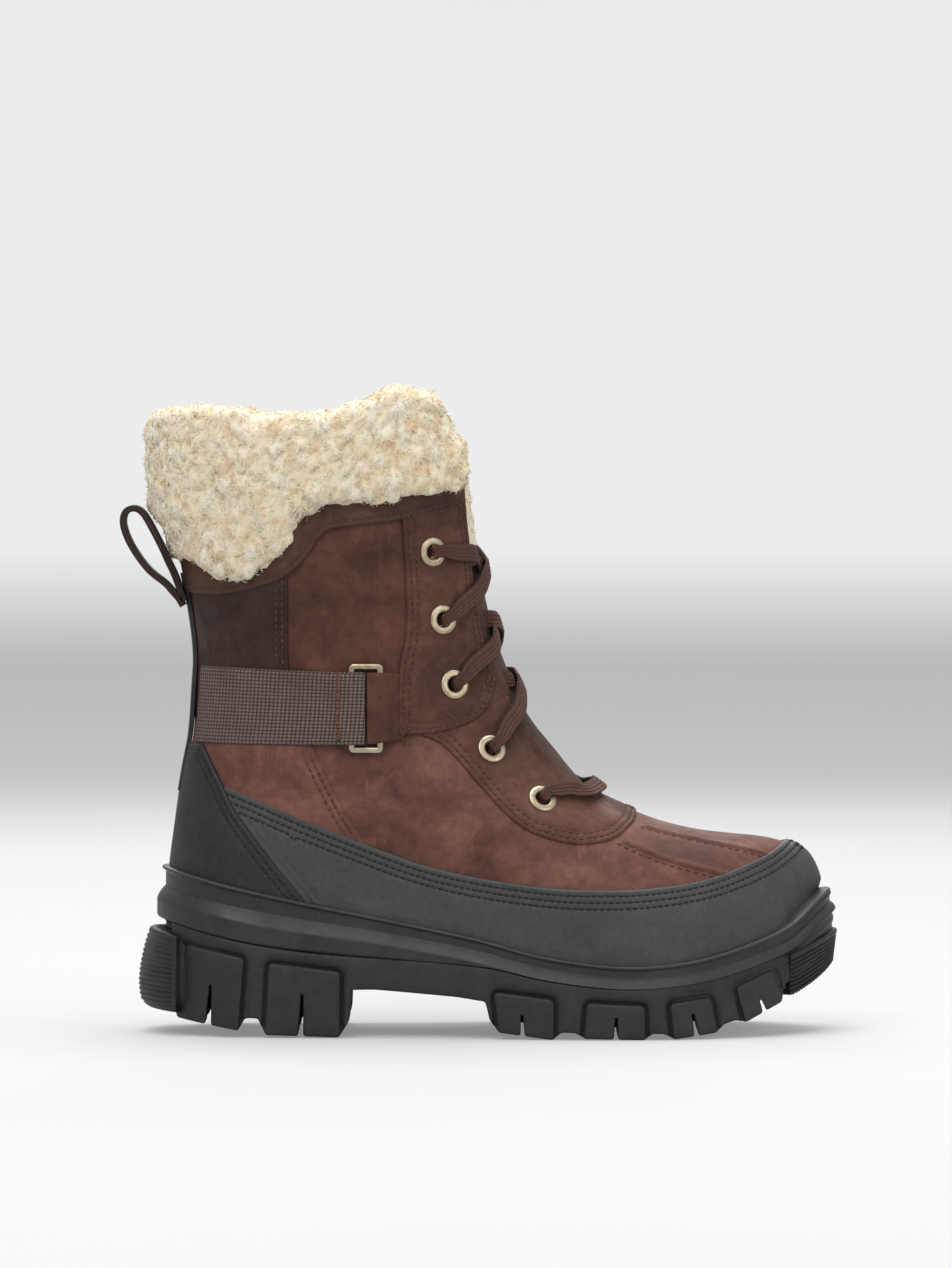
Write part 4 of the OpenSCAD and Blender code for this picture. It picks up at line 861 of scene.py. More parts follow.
LOOP = spline([[-31.6, 176.5], [-33.4, 179.6], [-36.2, 182.8], [-39, 185.9], [-46.3, 192], [-53, 201.5],
               [-56.3, 210], [-55.4, 215.4], [-51.6, 216.9], [-48, 214.6], [-44.2, 208.2], [-40.3, 200.6],
               [-37.9, 195.2], [-35.2, 189.5], [-33.0, 183.5], [-31, 178.5]], 100)
LOOP_PLIES = (("outer", 7.3, 0.35, 1.35, "foxing_heel"), ("core", 7.5, -0.45, 0.4, "collar"),
              ("inner", 7.3, -1.3, -0.4, "foxing_heel"))
for ply, half, lo, hi, mat in LOOP_PLIES:
    section = [(-half, lo + 0.2), (-half + 0.3, lo), (half - 0.3, lo), (half, lo + 0.2), (half, hi - 0.2),
               (half - 0.3, hi), (-half + 0.3, hi), (-half, hi - 0.2)]
    verts, faces, _ = tube([[x, 0, z] for x, z in LOOP], [[0, 1, 0]] * len(LOOP), section)
    nodes = ["pull_loop"] if ply == "outer" else []
    new_object("pull_loop_" + ply, verts, faces, M[mat], "pull_loop_body", nodes)

# ---------- eyelets ----------

RING_PROFILE = [(2.9, -3.2), (3.0, -1.0), (3.05, 0.3), (3.35, 0.62), (3.9, 0.74), (4.9, 0.72), (5.6, 0.6),
                (5.95, 0.36), (6.0, 0.05), (5.9, -0.2), (3.6, -0.25), (3.5, -3.2)]
EYELET_SIDES = 40
e_verts, e_faces = [], []
for s in BOTH:
    for k, (x, z) in enumerate(EYELETS):
        O, ahead, up, n = axes_at(x, z, s)
        O = O + n * ((STAY_UP_H if k < 3 else STAY_H) + float(undulation(O[None])[0]) + 0.15)
        base = len(e_verts)
        for r, h in RING_PROFILE:
            for i in range(EYELET_SIDES):
                t = 2 * math.pi * i / EYELET_SIDES
                e_verts.append(O + ahead * (r * math.cos(t)) + up * (r * math.sin(t)) + n * h)
        e_faces += grid_faces(len(RING_PROFILE), EYELET_SIDES, True, base)
new_object("eyelets", e_verts, e_faces, M["brass"], "boot", ["eyelets"])

# ---------- lace ----------

LACE_T, LACE_W = 1.3, 7.4
SEAT = [STAY_UP_H + 0.75, STAY_UP_H + 0.75, STAY_UP_H + 0.75, STAY_H + 0.75, STAY_H + 0.75]
LACE_IN = -(3 + LACE_T / 2 + 0.9)
EY_POLAR = [tuple(float(v) for v in polar(*p)) for p in EYELETS]


def fan_lifted(a, depth, side, lift):
    """A point at fan angle a, depth behind the front line, lifted off the surface."""
    x, z = cartesian(a, float(front_r(np.array(a))) + depth)
    return lifted(float(x), float(z), side, lift)


def front_lifted(a, y, lift):
    x, z = cartesian(a, float(front_r(np.array(a))) - lift + 0.012 * y * y)
    return np.array([x, float(centre_y(x)) + y, z])


def lace_out(k):
    return SEAT[k] + LACE_T / 2 + (0.35 if k < 3 else 1.0)


def depth_of(k):
    return EY_POLAR[k][1] - float(front_r(np.array(EY_POLAR[k][0])))


# A lace path is a list of (point, share of the full width, turn): turn 1 faces the fan's pole.
def bore(k, side, outward):
    turn = 0 if k < 3 else 1
    x, z = EYELETS[k]
    path = [(lifted(x, z, side, LACE_IN + 0.1 - 0.6 * turn), 0.55, turn),
            (lifted(x, z, side, -1), 0.5, 0.6 * turn), (lifted(x, z, side, 1.6), 0.5, 0),
            (lifted(x, z, side, lace_out(k) - 0.3), 0.6, 0)]
    return path if outward else path[::-1]


def between(k, j):
    """Fan angles from the row of eyelet k to that of eyelet j."""
    a, b = EY_POLAR[k][0], EY_POLAR[j][0]
    return lambda t: a + (b - a) * t


def outward(k, j, side, lift):
    """From eyelet k over its edge and across the tongue, rising towards row j."""
    at, d = between(k, j), depth_of(k)
    return [(fan_lifted(at(0.01), d - 2.4, side, lace_out(k) + 0.3), 0.66, 0),
            (fan_lifted(at(0.05), d - 5.4, side, lace_out(k) + 0.5), 0.88, 0),
            (fan_lifted(at(0.11), d - 9, side, lace_out(k) + 0.4), 1, 0),
            (fan_lifted(at(0.21), 5.2, side, 3.9), 1, 0),
            (front_lifted(at(0.42), side * 8, lift + 0.9), 1, 0),
            (front_lifted(at(0.5), 0, lift), 1, 0),
            (front_lifted(at(0.58), -side * 8, lift - 0.3), 1, 0)]


def crossing(k, j, side, lift):
    """From eyelet k across, in under the other edge and up to eyelet j from inside."""
    at, e = between(k, j), depth_of(j)
    return outward(k, j, side, lift) + [(fan_lifted(at(0.71), 3.4, -side, -2.6), 1, 0),
                                        (fan_lifted(at(0.8), 8, -side, -2.7), 0.95, 0),
                                        (fan_lifted(at(0.9), e - 6.5, -side, -3.1), 0.8, 0),
                                        (fan_lifted(EY_POLAR[j][0], e - 2.6, -side, LACE_IN), 0.6, 0)]


def last_crossing(side, lift):
    """From the second eyelet over both edges, into the top eyelet from outside, and ending inside."""
    at, b, e = between(1, 0), EY_POLAR[0][0], depth_of(0)
    over = [(fan_lifted(at(0.79), 5.2, -side, 3.9), 1, 0),
            (fan_lifted(at(0.88), e - 9, -side, lace_out(0) + 0.4), 1, 0),
            (fan_lifted(at(0.95), e - 5.4, -side, lace_out(0) + 0.5), 0.88, 0),
            (fan_lifted(at(0.99), e - 2.4, -side, lace_out(0) + 0.3), 0.66, 0)]
    inside = [(fan_lifted(b - 0.8 * k, e - 0.4 - k, -side, LACE_IN), 0.5, 0) for k in (1, 2)]
    return outward(1, 0, side, lift) + over + bore(0, -side, False) + inside


def bar():
    """Straight across the bottom row, outside."""
    a, d = EY_POLAR[4][0], depth_of(4)

    def end(side):
        return [(fan_lifted(a, d - 2.4, side, lace_out(4) + 0.1), 0.66, 0),
                (fan_lifted(a + 0.7, d - 5.4, side, lace_out(4) + 0.3), 0.9, 0),
                (fan_lifted(a + 1.8, d - 9, side, lace_out(4) + 0.3), 1, 0),
                (fan_lifted(a + 3.6, 5.5, side, 4.4), 1, 0)]
    return end(LATERAL) + [(front_lifted(a + 4.4, y, 3.4), 1, 0) for y in (-9, 0, 9)] + end(MEDIAL)[::-1]


def half_lace(side, lift):
    at, d, e = between(4, 3), depth_of(4), depth_of(3)
    riser = [(fan_lifted(at(t), d + (e - d) * t, side, LACE_IN - 1), 0.7, 1) for t in (0.2, 0.5, 0.8)]
    return (bore(4, side, False) + riser + bore(3, side, True) + crossing(3, 2, side, lift)
            + bore(2, -side, True) + crossing(2, 1, -side, lift) + bore(1, side, True)
            + last_crossing(side, lift))


def lace_section(n=9, ribs=5):
    top = []
    for i in range(n * 3):
        t = -1 + 2 * i / (n * 3 - 1)
        rib = 0.13 * math.cos(ribs * math.pi * t) * (1 - t * t)
        top.append((t * LACE_W / 2, (LACE_T / 2) * max(0.0, 1 - t ** 8) ** 0.5 + rib))
    return top + [(x, -y) for x, y in top[::-1]][1:-1]


def build_lace():
    path = half_lace(LATERAL, 2.5)[::-1] + bar() + half_lace(MEDIAL, 0.4)
    n = 8 * (len(path) - 1)
    P = spline([p[0] for p in path], n)
    share = spline([[p[1]] for p in path], n)[:, 0]
    turn = np.clip(spline([[p[2]] for p in path], n)[:, 0], 0, 1)
    a, _ = polar(P[:, 0], P[:, 2])
    x1, z1 = cartesian(a - 1, front_r(a - 1))
    x0, z0 = cartesian(a + 1, front_r(a + 1))
    up = np.column_stack([x1 - x0, 0 * x0, z1 - z0])
    up /= np.linalg.norm(up, axis=1, keepdims=True)
    pole = np.column_stack([POLE[0] - P[:, 0], 0 * x0, POLE[1] - P[:, 2]])
    pole /= np.linalg.norm(pole, axis=1, keepdims=True)
    W = np.cos(turn * np.pi / 2)[:, None] * up + np.sin(turn * np.pi / 2)[:, None] * pole
    section = lace_section()
    verts, faces, m = tube(P, W, section, share)
    uv = np.column_stack([np.tile([s[0] for s in section], len(P)), np.repeat(arc_length(P), m)])
    new_object("lace", verts, faces, M["lace"], "boot", ["lace"], uv=uv)


def lace_material():
    m = Nodes("lace_weave", 0.72)
    uv = m.tree.nodes.new("ShaderNodeTexCoord").outputs["UV"]
    split_uv = m.add("ShaderNodeSeparateXYZ", i0=uv)
    strand = m.maths("FRACT", m.maths("DIVIDE", split_uv.outputs[0], 1.72))
    across = m.maths("ABSOLUTE", m.maths("SUBTRACT", strand, 0.5))
    phase = m.maths("ADD", split_uv.outputs[1], m.maths("MULTIPLY", across, 1.6))
    wave = m.maths("SINE", m.maths("MULTIPLY", phase, 2 * math.pi / 1.15))
    groove = m.maths("MULTIPLY", m.remap(across, 0.38, 0.5, 0.0, 1.0), -1.0)
    height = m.maths("ADD", m.maths("MULTIPLY", wave, 0.5), groove)
    # painted shade: the colour follows the weave's height, darker in the grooves between the strands and in
    # the dips of the weave, lighter on its crests
    tone = m.remap(height, -1.2, 0.5, 0.0, 1.0)
    tone = m.maths("ADD", m.maths("MULTIPLY", tone, 0.75), m.maths("MULTIPLY", m.noise(300, 3), 0.35))
    colour = m.ramp(tone, [(0.2, (0.014, 0.005, 0.003)), (0.55, (0.064, 0.021, 0.013)),
                           (0.95, (0.15, 0.054, 0.034))])
    return m.finish(colour, None, m.bump(height, 0.8, 0.0004))


M["lace"] = lace_material()
build_lace()

# ---------- heel strap, rings and tabs ----------


def webbing_material():
    m = Nodes("webbing", 0.78)
    uv = m.tree.nodes.new("ShaderNodeTexCoord").outputs["UV"]
    xy = m.add("ShaderNodeSeparateXYZ", i0=uv)
    column = m.maths("MULTIPLY", xy.outputs[0], 2 * math.pi / 1.75)
    row = m.maths("MULTIPLY", xy.outputs[1], 2 * math.pi / 1.42)
    a = m.maths("ABSOLUTE", m.maths("SINE", m.maths("MULTIPLY", column, 0.5)))
    b = m.maths("ABSOLUTE", m.maths("SINE", m.maths("MULTIPLY", row, 0.5)))
    height = m.maths("POWER", m.maths("MULTIPLY", a, b), 0.55)
    # painted shade: the colour follows the weave's height, darker in the hollows between the threads and
    # lighter on the raised threads, with noise for tone
    weave_shade_and_tone = m.maths("ADD", m.maths("MULTIPLY", height, 0.75), m.maths("MULTIPLY", m.noise(420, 4, 0.7), 0.4))
    colour = m.ramp(weave_shade_and_tone, [(0.25, (0.022, 0.013, 0.010)), (0.6, (0.105, 0.070, 0.056)),
                           (0.95, (0.215, 0.155, 0.125))])
    stain = m.remap(m.noise(45, 3), 0.5, 0.7, 0.0, 0.4)
    colour = m.mix(stain, colour, (0.075, 0.035, 0.026))
    return m.finish(colour, None, m.bump(height, 0.9, 0.0005))


M["webbing"] = webbing_material()


def build_band(name, side, x_from, x_to, z_low, z_high, height, thick, material):
    """A band lying round the ankle at nearly level height, folded under at its end next to the ring.
    height(x) is its outer face above the leather."""
    rows, cols = 29, 150
    verts, uvs = [], []
    for i in range(rows):
        t = i / (rows - 1)
        edge = min(t, 1 - t) * (STRAP_HALF * 2)
        drop = 0.45 * (1 - math.sqrt(max(0, 1 - (1 - min(1, edge / 0.9)) ** 2)))
        z_mid = z_low(0) + (z_high(0) - z_low(0)) * t
        start, along_it = x_from(z_mid), np.linspace(0, 1, 300)
        if start < x_to:
            along_it = 1 - np.cos(np.pi / 2 * along_it)
        x = start + (x_to - start) * along_it
        z = z_low(x) + (z_high(x) - z_low(x)) * t
        y = centre_y(x) + side * half_width(x, z, side)
        P, d = even_count(np.column_stack([x, y, z]), cols)
        e = 0.4
        dx = (half_width(P[:, 0] + e, P[:, 2], side) - half_width(P[:, 0] - e, P[:, 2], side)) / (2 * e)
        dz = (half_width(P[:, 0], P[:, 2] + e, side) - half_width(P[:, 0], P[:, 2] - e, side)) / (2 * e)
        N = np.column_stack([-dx, np.full(cols, side), -dz])
        N /= np.linalg.norm(N, axis=1, keepdims=True)
        h = height(P[:, 0]) - drop + undulation(P)
        outer = P + N * h[:, None]
        folded = [outer]
        end_n, end_p = N[-1], outer[-1]
        T = outer[-1] - outer[-2]
        T /= np.linalg.norm(T)
        for ang in np.linspace(0, np.pi, 9)[1:]:
            ahead = end_p + T * math.sin(ang) * thick * 0.9
            folded.append((ahead - end_n * (1 - math.cos(ang)) * thick * 0.95)[None])
        folded.append((outer - N * (2 * thick * 0.95))[::-1][:cols - 8:6])
        ring = np.vstack(folded)
        verts.append(ring)
        uvs.append(np.column_stack([arc_length(ring), np.full(len(ring), t * STRAP_HALF * 2)]))
    faces = grid_faces(rows, len(verts[0]))
    new_object(name, np.vstack(verts), faces, material, "boot", [name], uv=np.vstack(uvs))


RING_LIFT, RING_R = 3.1, 1.15
WIRE_SIDES = 12
TACK_X, TACKS = 33.2, 26
for s in BOTH:
    name = SIDE_NAME[s]
    build_band("strap_" + name, s, lambda z: curve(z, BACK) + 2.2, 43.6,
               lambda x: 120.2 + 0 * x, lambda x: 152.0 - 1.6 * smooth((x + 25) / 60),
               lambda x: 2.2 + 3.2 * smooth((x - 22) / 14) + 0.35 * smooth((x - 33.8) / 0.8) * (x < 45),
               0.75, M["webbing"])
    build_band("ring_tab_" + name, s, lambda z: 60.0, 45.6,
               lambda x: 120.6 + 1.2 * smooth((x - 46) / 12), lambda x: 150.2 - 0.6 * smooth((x - 50) / 8),
               lambda x: 1.4 + 3.9 * smooth((58.5 - x) / 7),
               0.8, M["eyestay"])
    O, ahead, up, n = axes_at(*RING_AT, s)
    corner, half_x, half_z = 1.0, 5.9, 17.2
    verts, path = [], []
    for cx, cz, a0 in ((1, 1, 0), (-1, 1, 90), (-1, -1, 180), (1, -1, 270)):
        for t in np.linspace(a0, a0 + 90, 6):
            path.append((cx * (half_x - corner) + corner * math.cos(math.radians(t)),
                         cz * (half_z - corner) + corner * math.sin(math.radians(t))))
    m = len(path)
    for i, (px, pz) in enumerate(path):
        qx, qz = path[(i + 1) % m]
        rx, rz = path[i - 1]
        t = np.array([qx - rx, qz - rz])
        t /= np.linalg.norm(t)
        out = np.array([t[1], -t[0]])
        for k in range(WIRE_SIDES):
            ang = 2 * math.pi * k / WIRE_SIDES
            c, d = ((abs(v) ** 0.45) * np.sign(v) for v in (math.cos(ang), math.sin(ang)))
            verts.append(O + ahead * (px + out[0] * c * RING_R) + up * (pz + out[1] * c * RING_R)
                         + n * (RING_LIFT + d * RING_R * 0.8))
    faces = [[i * WIRE_SIDES + k, i * WIRE_SIDES + (k + 1) % WIRE_SIDES,
              ((i + 1) % m) * WIRE_SIDES + (k + 1) % WIRE_SIDES, ((i + 1) % m) * WIRE_SIDES + k]
             for i in range(m) for k in range(WIRE_SIDES)]
    new_object("ring_" + name, verts, faces, M["brass"], "ring_%s_body" % name, ["ring_" + name])
    # Bar tack across the webbing, in zigzag.
    lift = 2.2 + 3.2 * float(smooth((TACK_X - 22) / 14)) + 0.1
    for i in range(TACKS):
        z = 121.4 + 28.2 * i / (TACKS - 1)
        swing = 0.9 if i % 2 else -0.9
        x = TACK_X + swing
        capsule(lifted(x, z, s, lift), lifted(TACK_X - swing, z + 1.1, s, lift), skin_normal(x, z, s), 0.33,
                "rust" if i % 3 else "brown")


# ---------- raised seams on the vamp ----------

RIDGES = [spline([[148, 81.8], [158, 77.4], [171, 72.4], [183, 69.2], [196, 66]], 60),
          spline([[157, 87.6], [170, 83.6], [185, 80], [200, 77.3], [214, 74]], 60)]


def ridge(name, line, side, half=1.9, height=1.25):
    UV = place(even(line, 1.0), side)
    P, N = sample(UV[:, 0], UV[:, 1])
    T = np.gradient(P, axis=0)
    T /= np.linalg.norm(T, axis=1, keepdims=True)
    W = np.cross(N, T) * side
    verts = []
    count = len(P)
    for k in range(-5, 6):
        t = k / 5
        # steep on the upper side, easing out on the lower side
        h = height * (1 - abs(t) ** 2.2) * (1.0 if t < 0 else 1 - 0.2 * t)
        ends = smooth(np.minimum(np.arange(count), count - 1 - np.arange(count)) / 4.0)
        Q = shift(UV, W * (t * half))
        B, M3 = sample(Q[:, 0], Q[:, 1])
        verts.append(B + M3 * ((h * ends - 0.25) + undulation(B) + 0.35)[:, None])
    V = np.array(verts)
    return new_object(name, V.reshape(-1, 3), grid_faces(11, count), M["vamp"], "boot")


for s in BOTH:
    left = -1 if s == LATERAL else 1
    for k, line in enumerate(RIDGES):
        ridge("vamp_ridge_%s_%d" % (SIDE_NAME[s], k + 1), line, s)
        seam(line, s, 2.9 * left, 0.42, pitch=3.4, length=2.2)

# ---------- sole ----------

SOLE_LOW = [[-50, 30], [-30, 28], [5, 26], [40, 20.6], [56, 19.6], [82, 17.6], [100, 15], [140, 12],
            [165, 12], [200, 16], [225, 27], [240, 36]]
SOLE_PROUD = [[-50, 1.4], [0, 0.5], [60, 0.1], [150, 0], [200, 0], [238, 0.1]]
BAND_END = [[-50, 8.6], [0, 8.4], [56, 6], [120, 5.2], [238, 5]]
CHAMFER_END = [[-50, 13.6], [0, 13.2], [56, 10.5], [100, 9.6], [238, 8.6]]
FACE_END = [[-50, 21], [0, 20.8], [56, 15.5], [84, 12], [105, 9.8], [238, 8.8]]
TREAD_FLOOR = [[-45, 13], [-34, 11.4], [-7, 8.3], [5, 7], [36, 6.5], [95, 6], [120, 3], [160, 2.6],
               [188, 6.5], [214, 18], [222, 24]]
WALL = 6.3


def foot_half(x, side):
    return curve(x, FOOT_LATERAL) if side < 0 else curve(x, FOOT_MEDIAL)


def sole_ring(depth, out, n=120):
    """A closed ring: depth(x) below the rim, out(x) beyond the upper."""
    t = (1 - np.cos(np.pi * np.linspace(0, 1, n + 1))) / 2
    x0, x1 = HEEL_X - float(out(-40.0)), TOE_X + float(out(234.0))
    rows = []
    for side, order in ((LATERAL, t), (MEDIAL, t[::-1][1:-1])):
        x = x0 + (x1 - x0) * order
        at = HEEL_X - 3.5 + (TOE_X - HEEL_X + 5.5) * order
        at = at + 2.2 * smooth((at - 212) / 22)
        o = out(x)
        w = (foot_half(x, side) + o) * rounding((x1 - x) / (TOE_ROUND + o)) * rounding((x - x0) / (40 + o))
        rows.append(np.column_stack([x, centre_y(x) + side * w, curve(at, RIM) - depth(x)]))
    return np.vstack(rows)


def toe_ridges(x, depth):
    """The raised lines that wrap round the toe only."""
    fade = smooth((x - 216) / 9) * smooth((17.5 - depth) / 2)
    swell = 1.9 * smooth((x - 214) / 16) * (0.45 + 0.55 * smooth((depth - 1.5) / 12))
    return 0.42 * fade * np.cos(2 * np.pi * (depth - 1.6) / 5.5) + swell * smooth((30 - depth) / 8)


def build_sole():
    def mix_depth(a, b, t):
        return lambda x: curve(x, a) * (1 - t) + curve(x, b) * t

    def below_face(t):
        def depth(x):
            face, low = curve(x, FACE_END), curve(x, RIM) - curve(x, SOLE_LOW)
            return face + 0.9 + (np.maximum(low, face + 3) - face - 0.9) * t
        return depth

    zero = [[-50, 1.6], [238, 1.6]]
    # From the rim down to the foot: the depth below the rim, and how far out the wall stands there.
    plan = [(lambda x, d=d: d + 0 * x, out) for d, out in ((1.0, -3.5), (0.3, 1.6), (0, 3.4), (0.15, 4.2),
                                                           (0.7, 4.6), (1.2, 4.6), (1.6, 4.25))]
    plan += [(mix_depth(zero, BAND_END, t), 3.6) for t in (0.1, 0.2, 0.3, 0.4, 0.5, 0.6, 0.7, 0.8, 0.9, 0.96)]
    plan += [(mix_depth(BAND_END, CHAMFER_END, t), 3.7 + 2.75 * t ** 0.85)
             for t in (0.04, 0.15, 0.28, 0.42, 0.56, 0.7, 0.85, 0.97)]
    plan += [(mix_depth(CHAMFER_END, FACE_END, t), 6.45) for t in (0.1, 0.22, 0.35, 0.5, 0.65, 0.8, 0.9)]
    plan += [(mix_depth(CHAMFER_END, FACE_END, 1.0), 6.1)]
    plan += [(below_face(t), 4.6 if t < 0.05 else 3.6)
             for t in (0.0, 0.06, 0.14, 0.24, 0.34, 0.44, 0.55, 0.67, 0.8, 0.9, 1.0)]
    rings = []
    for depth, out in plan:
        def reach(x, depth=depth, out=out):
            x = np.asarray(x, float)
            deep = depth(x)
            o = out + curve(x, SOLE_PROUD) * smooth((out - 2) / 4)
            if out == 3.6 or out == 4.6 and deep.max() > 5:
                o = o + 1.3 * smooth((x - 213) / 7)
            return o + (toe_ridges(x, deep) if out > 3 else 0)
        rings.append(sole_ring(depth, reach))
    n = len(rings[0])
    last = rings[-1]
    for k in (0.8, 0.5, 0.15):
        ring = last.copy()
        ring[:, 1] = centre_y(ring[:, 0]) + (ring[:, 1] - centre_y(ring[:, 0])) * k
        rings.append(ring)
    verts = np.vstack(rings)
    faces = grid_faces(len(rings), n, True)
    base = (len(rings) - 1) * n
    for i in range(1, n // 2 - 1):
        faces.append([base + i, base + i + 1, base + n - i - 1, base + n - i])
    new_object("outsole", verts, faces, M["sole"], "boot", ["outsole"])
    # the blocks in the middle of the tread
    verts, faces = [], []
    for x0, x1 in ((-36.0, 37.0), (97.0, 211.0)):
        rows = []
        for inset, lift in ((0, None), (0, 3), (0.8, 0.9), (2.2, 0)):
            t = (1 - np.cos(np.pi * np.linspace(0, 1, 41))) / 2
            x = x0 + inset + (x1 - x0 - 2 * inset) * t
            sides = []
            for side, order in ((LATERAL, x), (MEDIAL, x[::-1][1:-1])):
                ends = rounding((x1 - inset - order) / 12), rounding((order - x0 - inset) / 12)
                w = 17 * ends[0] * ends[1] - inset * 0.5
                z = curve(order, SOLE_LOW) + 2 if lift is None else curve(order, TREAD_FLOOR) + lift
                sides.append(np.column_stack([order, centre_y(order) + side * np.maximum(w, 0), z]))
            rows.append(np.vstack(sides))
        base, m = len(verts), len(rows[0])
        verts += [v for r in rows for v in r]
        faces += grid_faces(len(rows), m, True, base)
        b = base + (len(rows) - 1) * m
        for i in range(1, m // 2 - 1):
            faces.append([b + i, b + i + 1, b + m - i - 1, b + m - i])
    fix_normals(new_object("tread_middle", verts, faces, M["lug"], "boot"))


def fix_normals(obj):
    bm = bmesh.new()
    bm.from_mesh(obj.data)
    bmesh.ops.recalc_face_normals(bm, faces=bm.faces)
    bm.to_mesh(obj.data)
    bm.free()


def round_corners(points, radius):
    P = np.array(points, float)
    out = []
    for i in range(len(P)):
        a, b, c = P[i - 1], P[i], P[(i + 1) % len(P)]
        r = min(radius, 0.45 * np.linalg.norm(a - b), 0.45 * np.linalg.norm(c - b))
        p, q = b + (a - b) / np.linalg.norm(a - b) * r, b + (c - b) / np.linalg.norm(c - b) * r
        out += [(1 - t) ** 2 * p + 2 * t * (1 - t) * b + t * t * q for t in (0, 0.33, 0.67, 1)]
    return np.array(out)


# Each lug: its face from bottom left round to bottom right, and its slit (x at the foot, x at the top, top,
# width).
LUGS = [
    ([[-33.6, 7.4], [-32.6, 14], [-29.8, 37.2], [-5.6, 32.6], [-8.0, 2.9]], (-20.4, -19.4, 21.6, 2.3)),
    ([[3.3, 1.2], [4.8, 30.6], [33.9, 27.0], [33.6, 0.3]], (17.8, 18.4, 18.0, 2.1)),
    ([[99.2, 2.8], [97.2, 19.2], [121.6, 16.2], [121.4, 0]], (108.9, 108.6, 10.2, 1.7)),
    ([[134.2, 0.6], [135.2, 15.0], [158.8, 13.7], [159.0, 0]], (147.0, 147.2, 9.2, 1.7)),
    ([[171.0, 0.2], [169.2, 14.6], [186.0, 16.9], [188.6, 2.6]], (180.2, 178.6, 10.6, 1.7)),
    ([[200.6, 6.4], [196.6, 20.8], [211.9, 27.3], [216.0, 14.2]], (208.6, 206.8, 15.4, 1.4)),
]
# What lies between one lug's foot and the next, from back to front.
GAPS = [
    [[-36, 11.6], [-34.4, 10.9]],
    [[-5.0, 8.1], [0.2, 8.0]],
    [[37.9, 7.4], [38.4, 19.8], [48, 20.0], [56, 19.4], [82, 17.2], [93.6, 15.4], [95.4, 7.8]],
    [[124.6, 3.0], [130.6, 2.9]],
    [[162.0, 2.6], [167.2, 2.4]],
    [[191.6, 6.0], [196.4, 7.4]],
    [[216.6, 19.4], [218, 19.8]],
]


def wall_outline():
    """The side of the tread seen from the side: lugs, webs and arch."""
    low = []
    for k, (face, (foot, tip, top, width)) in enumerate(LUGS):
        low += GAPS[k]
        a, b = np.array(face[0]), np.array(face[-1])

        def level(x):
            return a[1] + (b[1] - a[1]) * (x - a[0]) / (b[0] - a[0])
        x0, x1 = foot - width / 2, foot + width / 2
        low += [list(a), [x0, level(x0)], [tip - 0.35, top], [tip + 0.35, top], [x1, level(x1)], list(b)]
    low += GAPS[-1]
    x = np.linspace(218, -36, 90)
    top = np.column_stack([x, curve(x, RIM) - curve(x, FACE_END) - 1.0 + 1.1 * smooth((x - 20) / 60)])
    return np.vstack([low, top])


def relief(outline, shapes, spacing):
    """Triangulates an outline with extra rows of points along its edge and along the edges of the shapes."""
    closed = even(np.vstack([outline, outline[:1]]), 0.8)[:-1]
    n = len(closed)
    nxt = np.roll(closed, -1, axis=0)
    points, edges = [tuple(p) for p in closed], [(i, (i + 1) % n) for i in range(n)]

    def rows(loop, offsets):
        area = 0.5 * np.sum(loop[:, 0] * np.roll(loop[:, 1], -1) - np.roll(loop[:, 0], -1) * loop[:, 1])
        T = np.roll(loop, -1, axis=0) - np.roll(loop, 1, axis=0)
        T /= np.maximum(np.linalg.norm(T, axis=1, keepdims=True), 1e-9)
        inward = np.column_stack([-T[:, 1], T[:, 0]]) * np.sign(area)
        m = len(loop)
        ends = np.roll(loop, -1, axis=0)
        for d in offsets:
            Q = loop + inward * d
            clear = min(0.85 * abs(d), 0.2) + 0.02
            ok = inside_polygon(Q, closed) & (segment_distance(Q, closed, nxt) > clear)
            ok &= segment_distance(Q, loop, ends) > 0.85 * abs(d) - 0.01
            index = {}
            for i in np.nonzero(ok)[0]:
                index[i] = len(points)
                points.append(tuple(Q[i]))
            edges.extend((index[i], index[(i + 1) % m]) for i in index if (i + 1) % m in index)

    rows(closed, (0.25, 0.6, 1.1))
    loops = [even(np.vstack([shape, shape[:1]]), 0.9)[:-1] for shape in shapes]
    for loop in loops:
        rows(loop, (1.0, 0.5, 0.15, -0.15, -0.7, -1.4, -2.2))
    lo, hi = closed.min(0), closed.max(0)
    G = np.array(np.meshgrid(*(np.arange(lo[c], hi[c], spacing) for c in (0, 1)))).reshape(2, -1).T
    G = G[inside_polygon(G, closed)]
    tree = KDTree(len(points))
    for i, q in enumerate(points):
        tree.insert((q[0], q[1], 0), i)
    tree.balance()
    points += [tuple(g) for g in G if tree.find((g[0], g[1], 0))[2] > 0.6 * spacing]
    co, _, tris, _, _, _ = delaunay_2d_cdt([Vector(q) for q in points], edges, [], 1, 0.002)
    co = np.array([tuple(c) for c in co])
    tris = np.array([tuple(t) for t in tris])
    tris = tris[inside_polygon(co[tris].mean(1), closed)]
    return co, tris, segment_distance(co, closed, nxt), loops


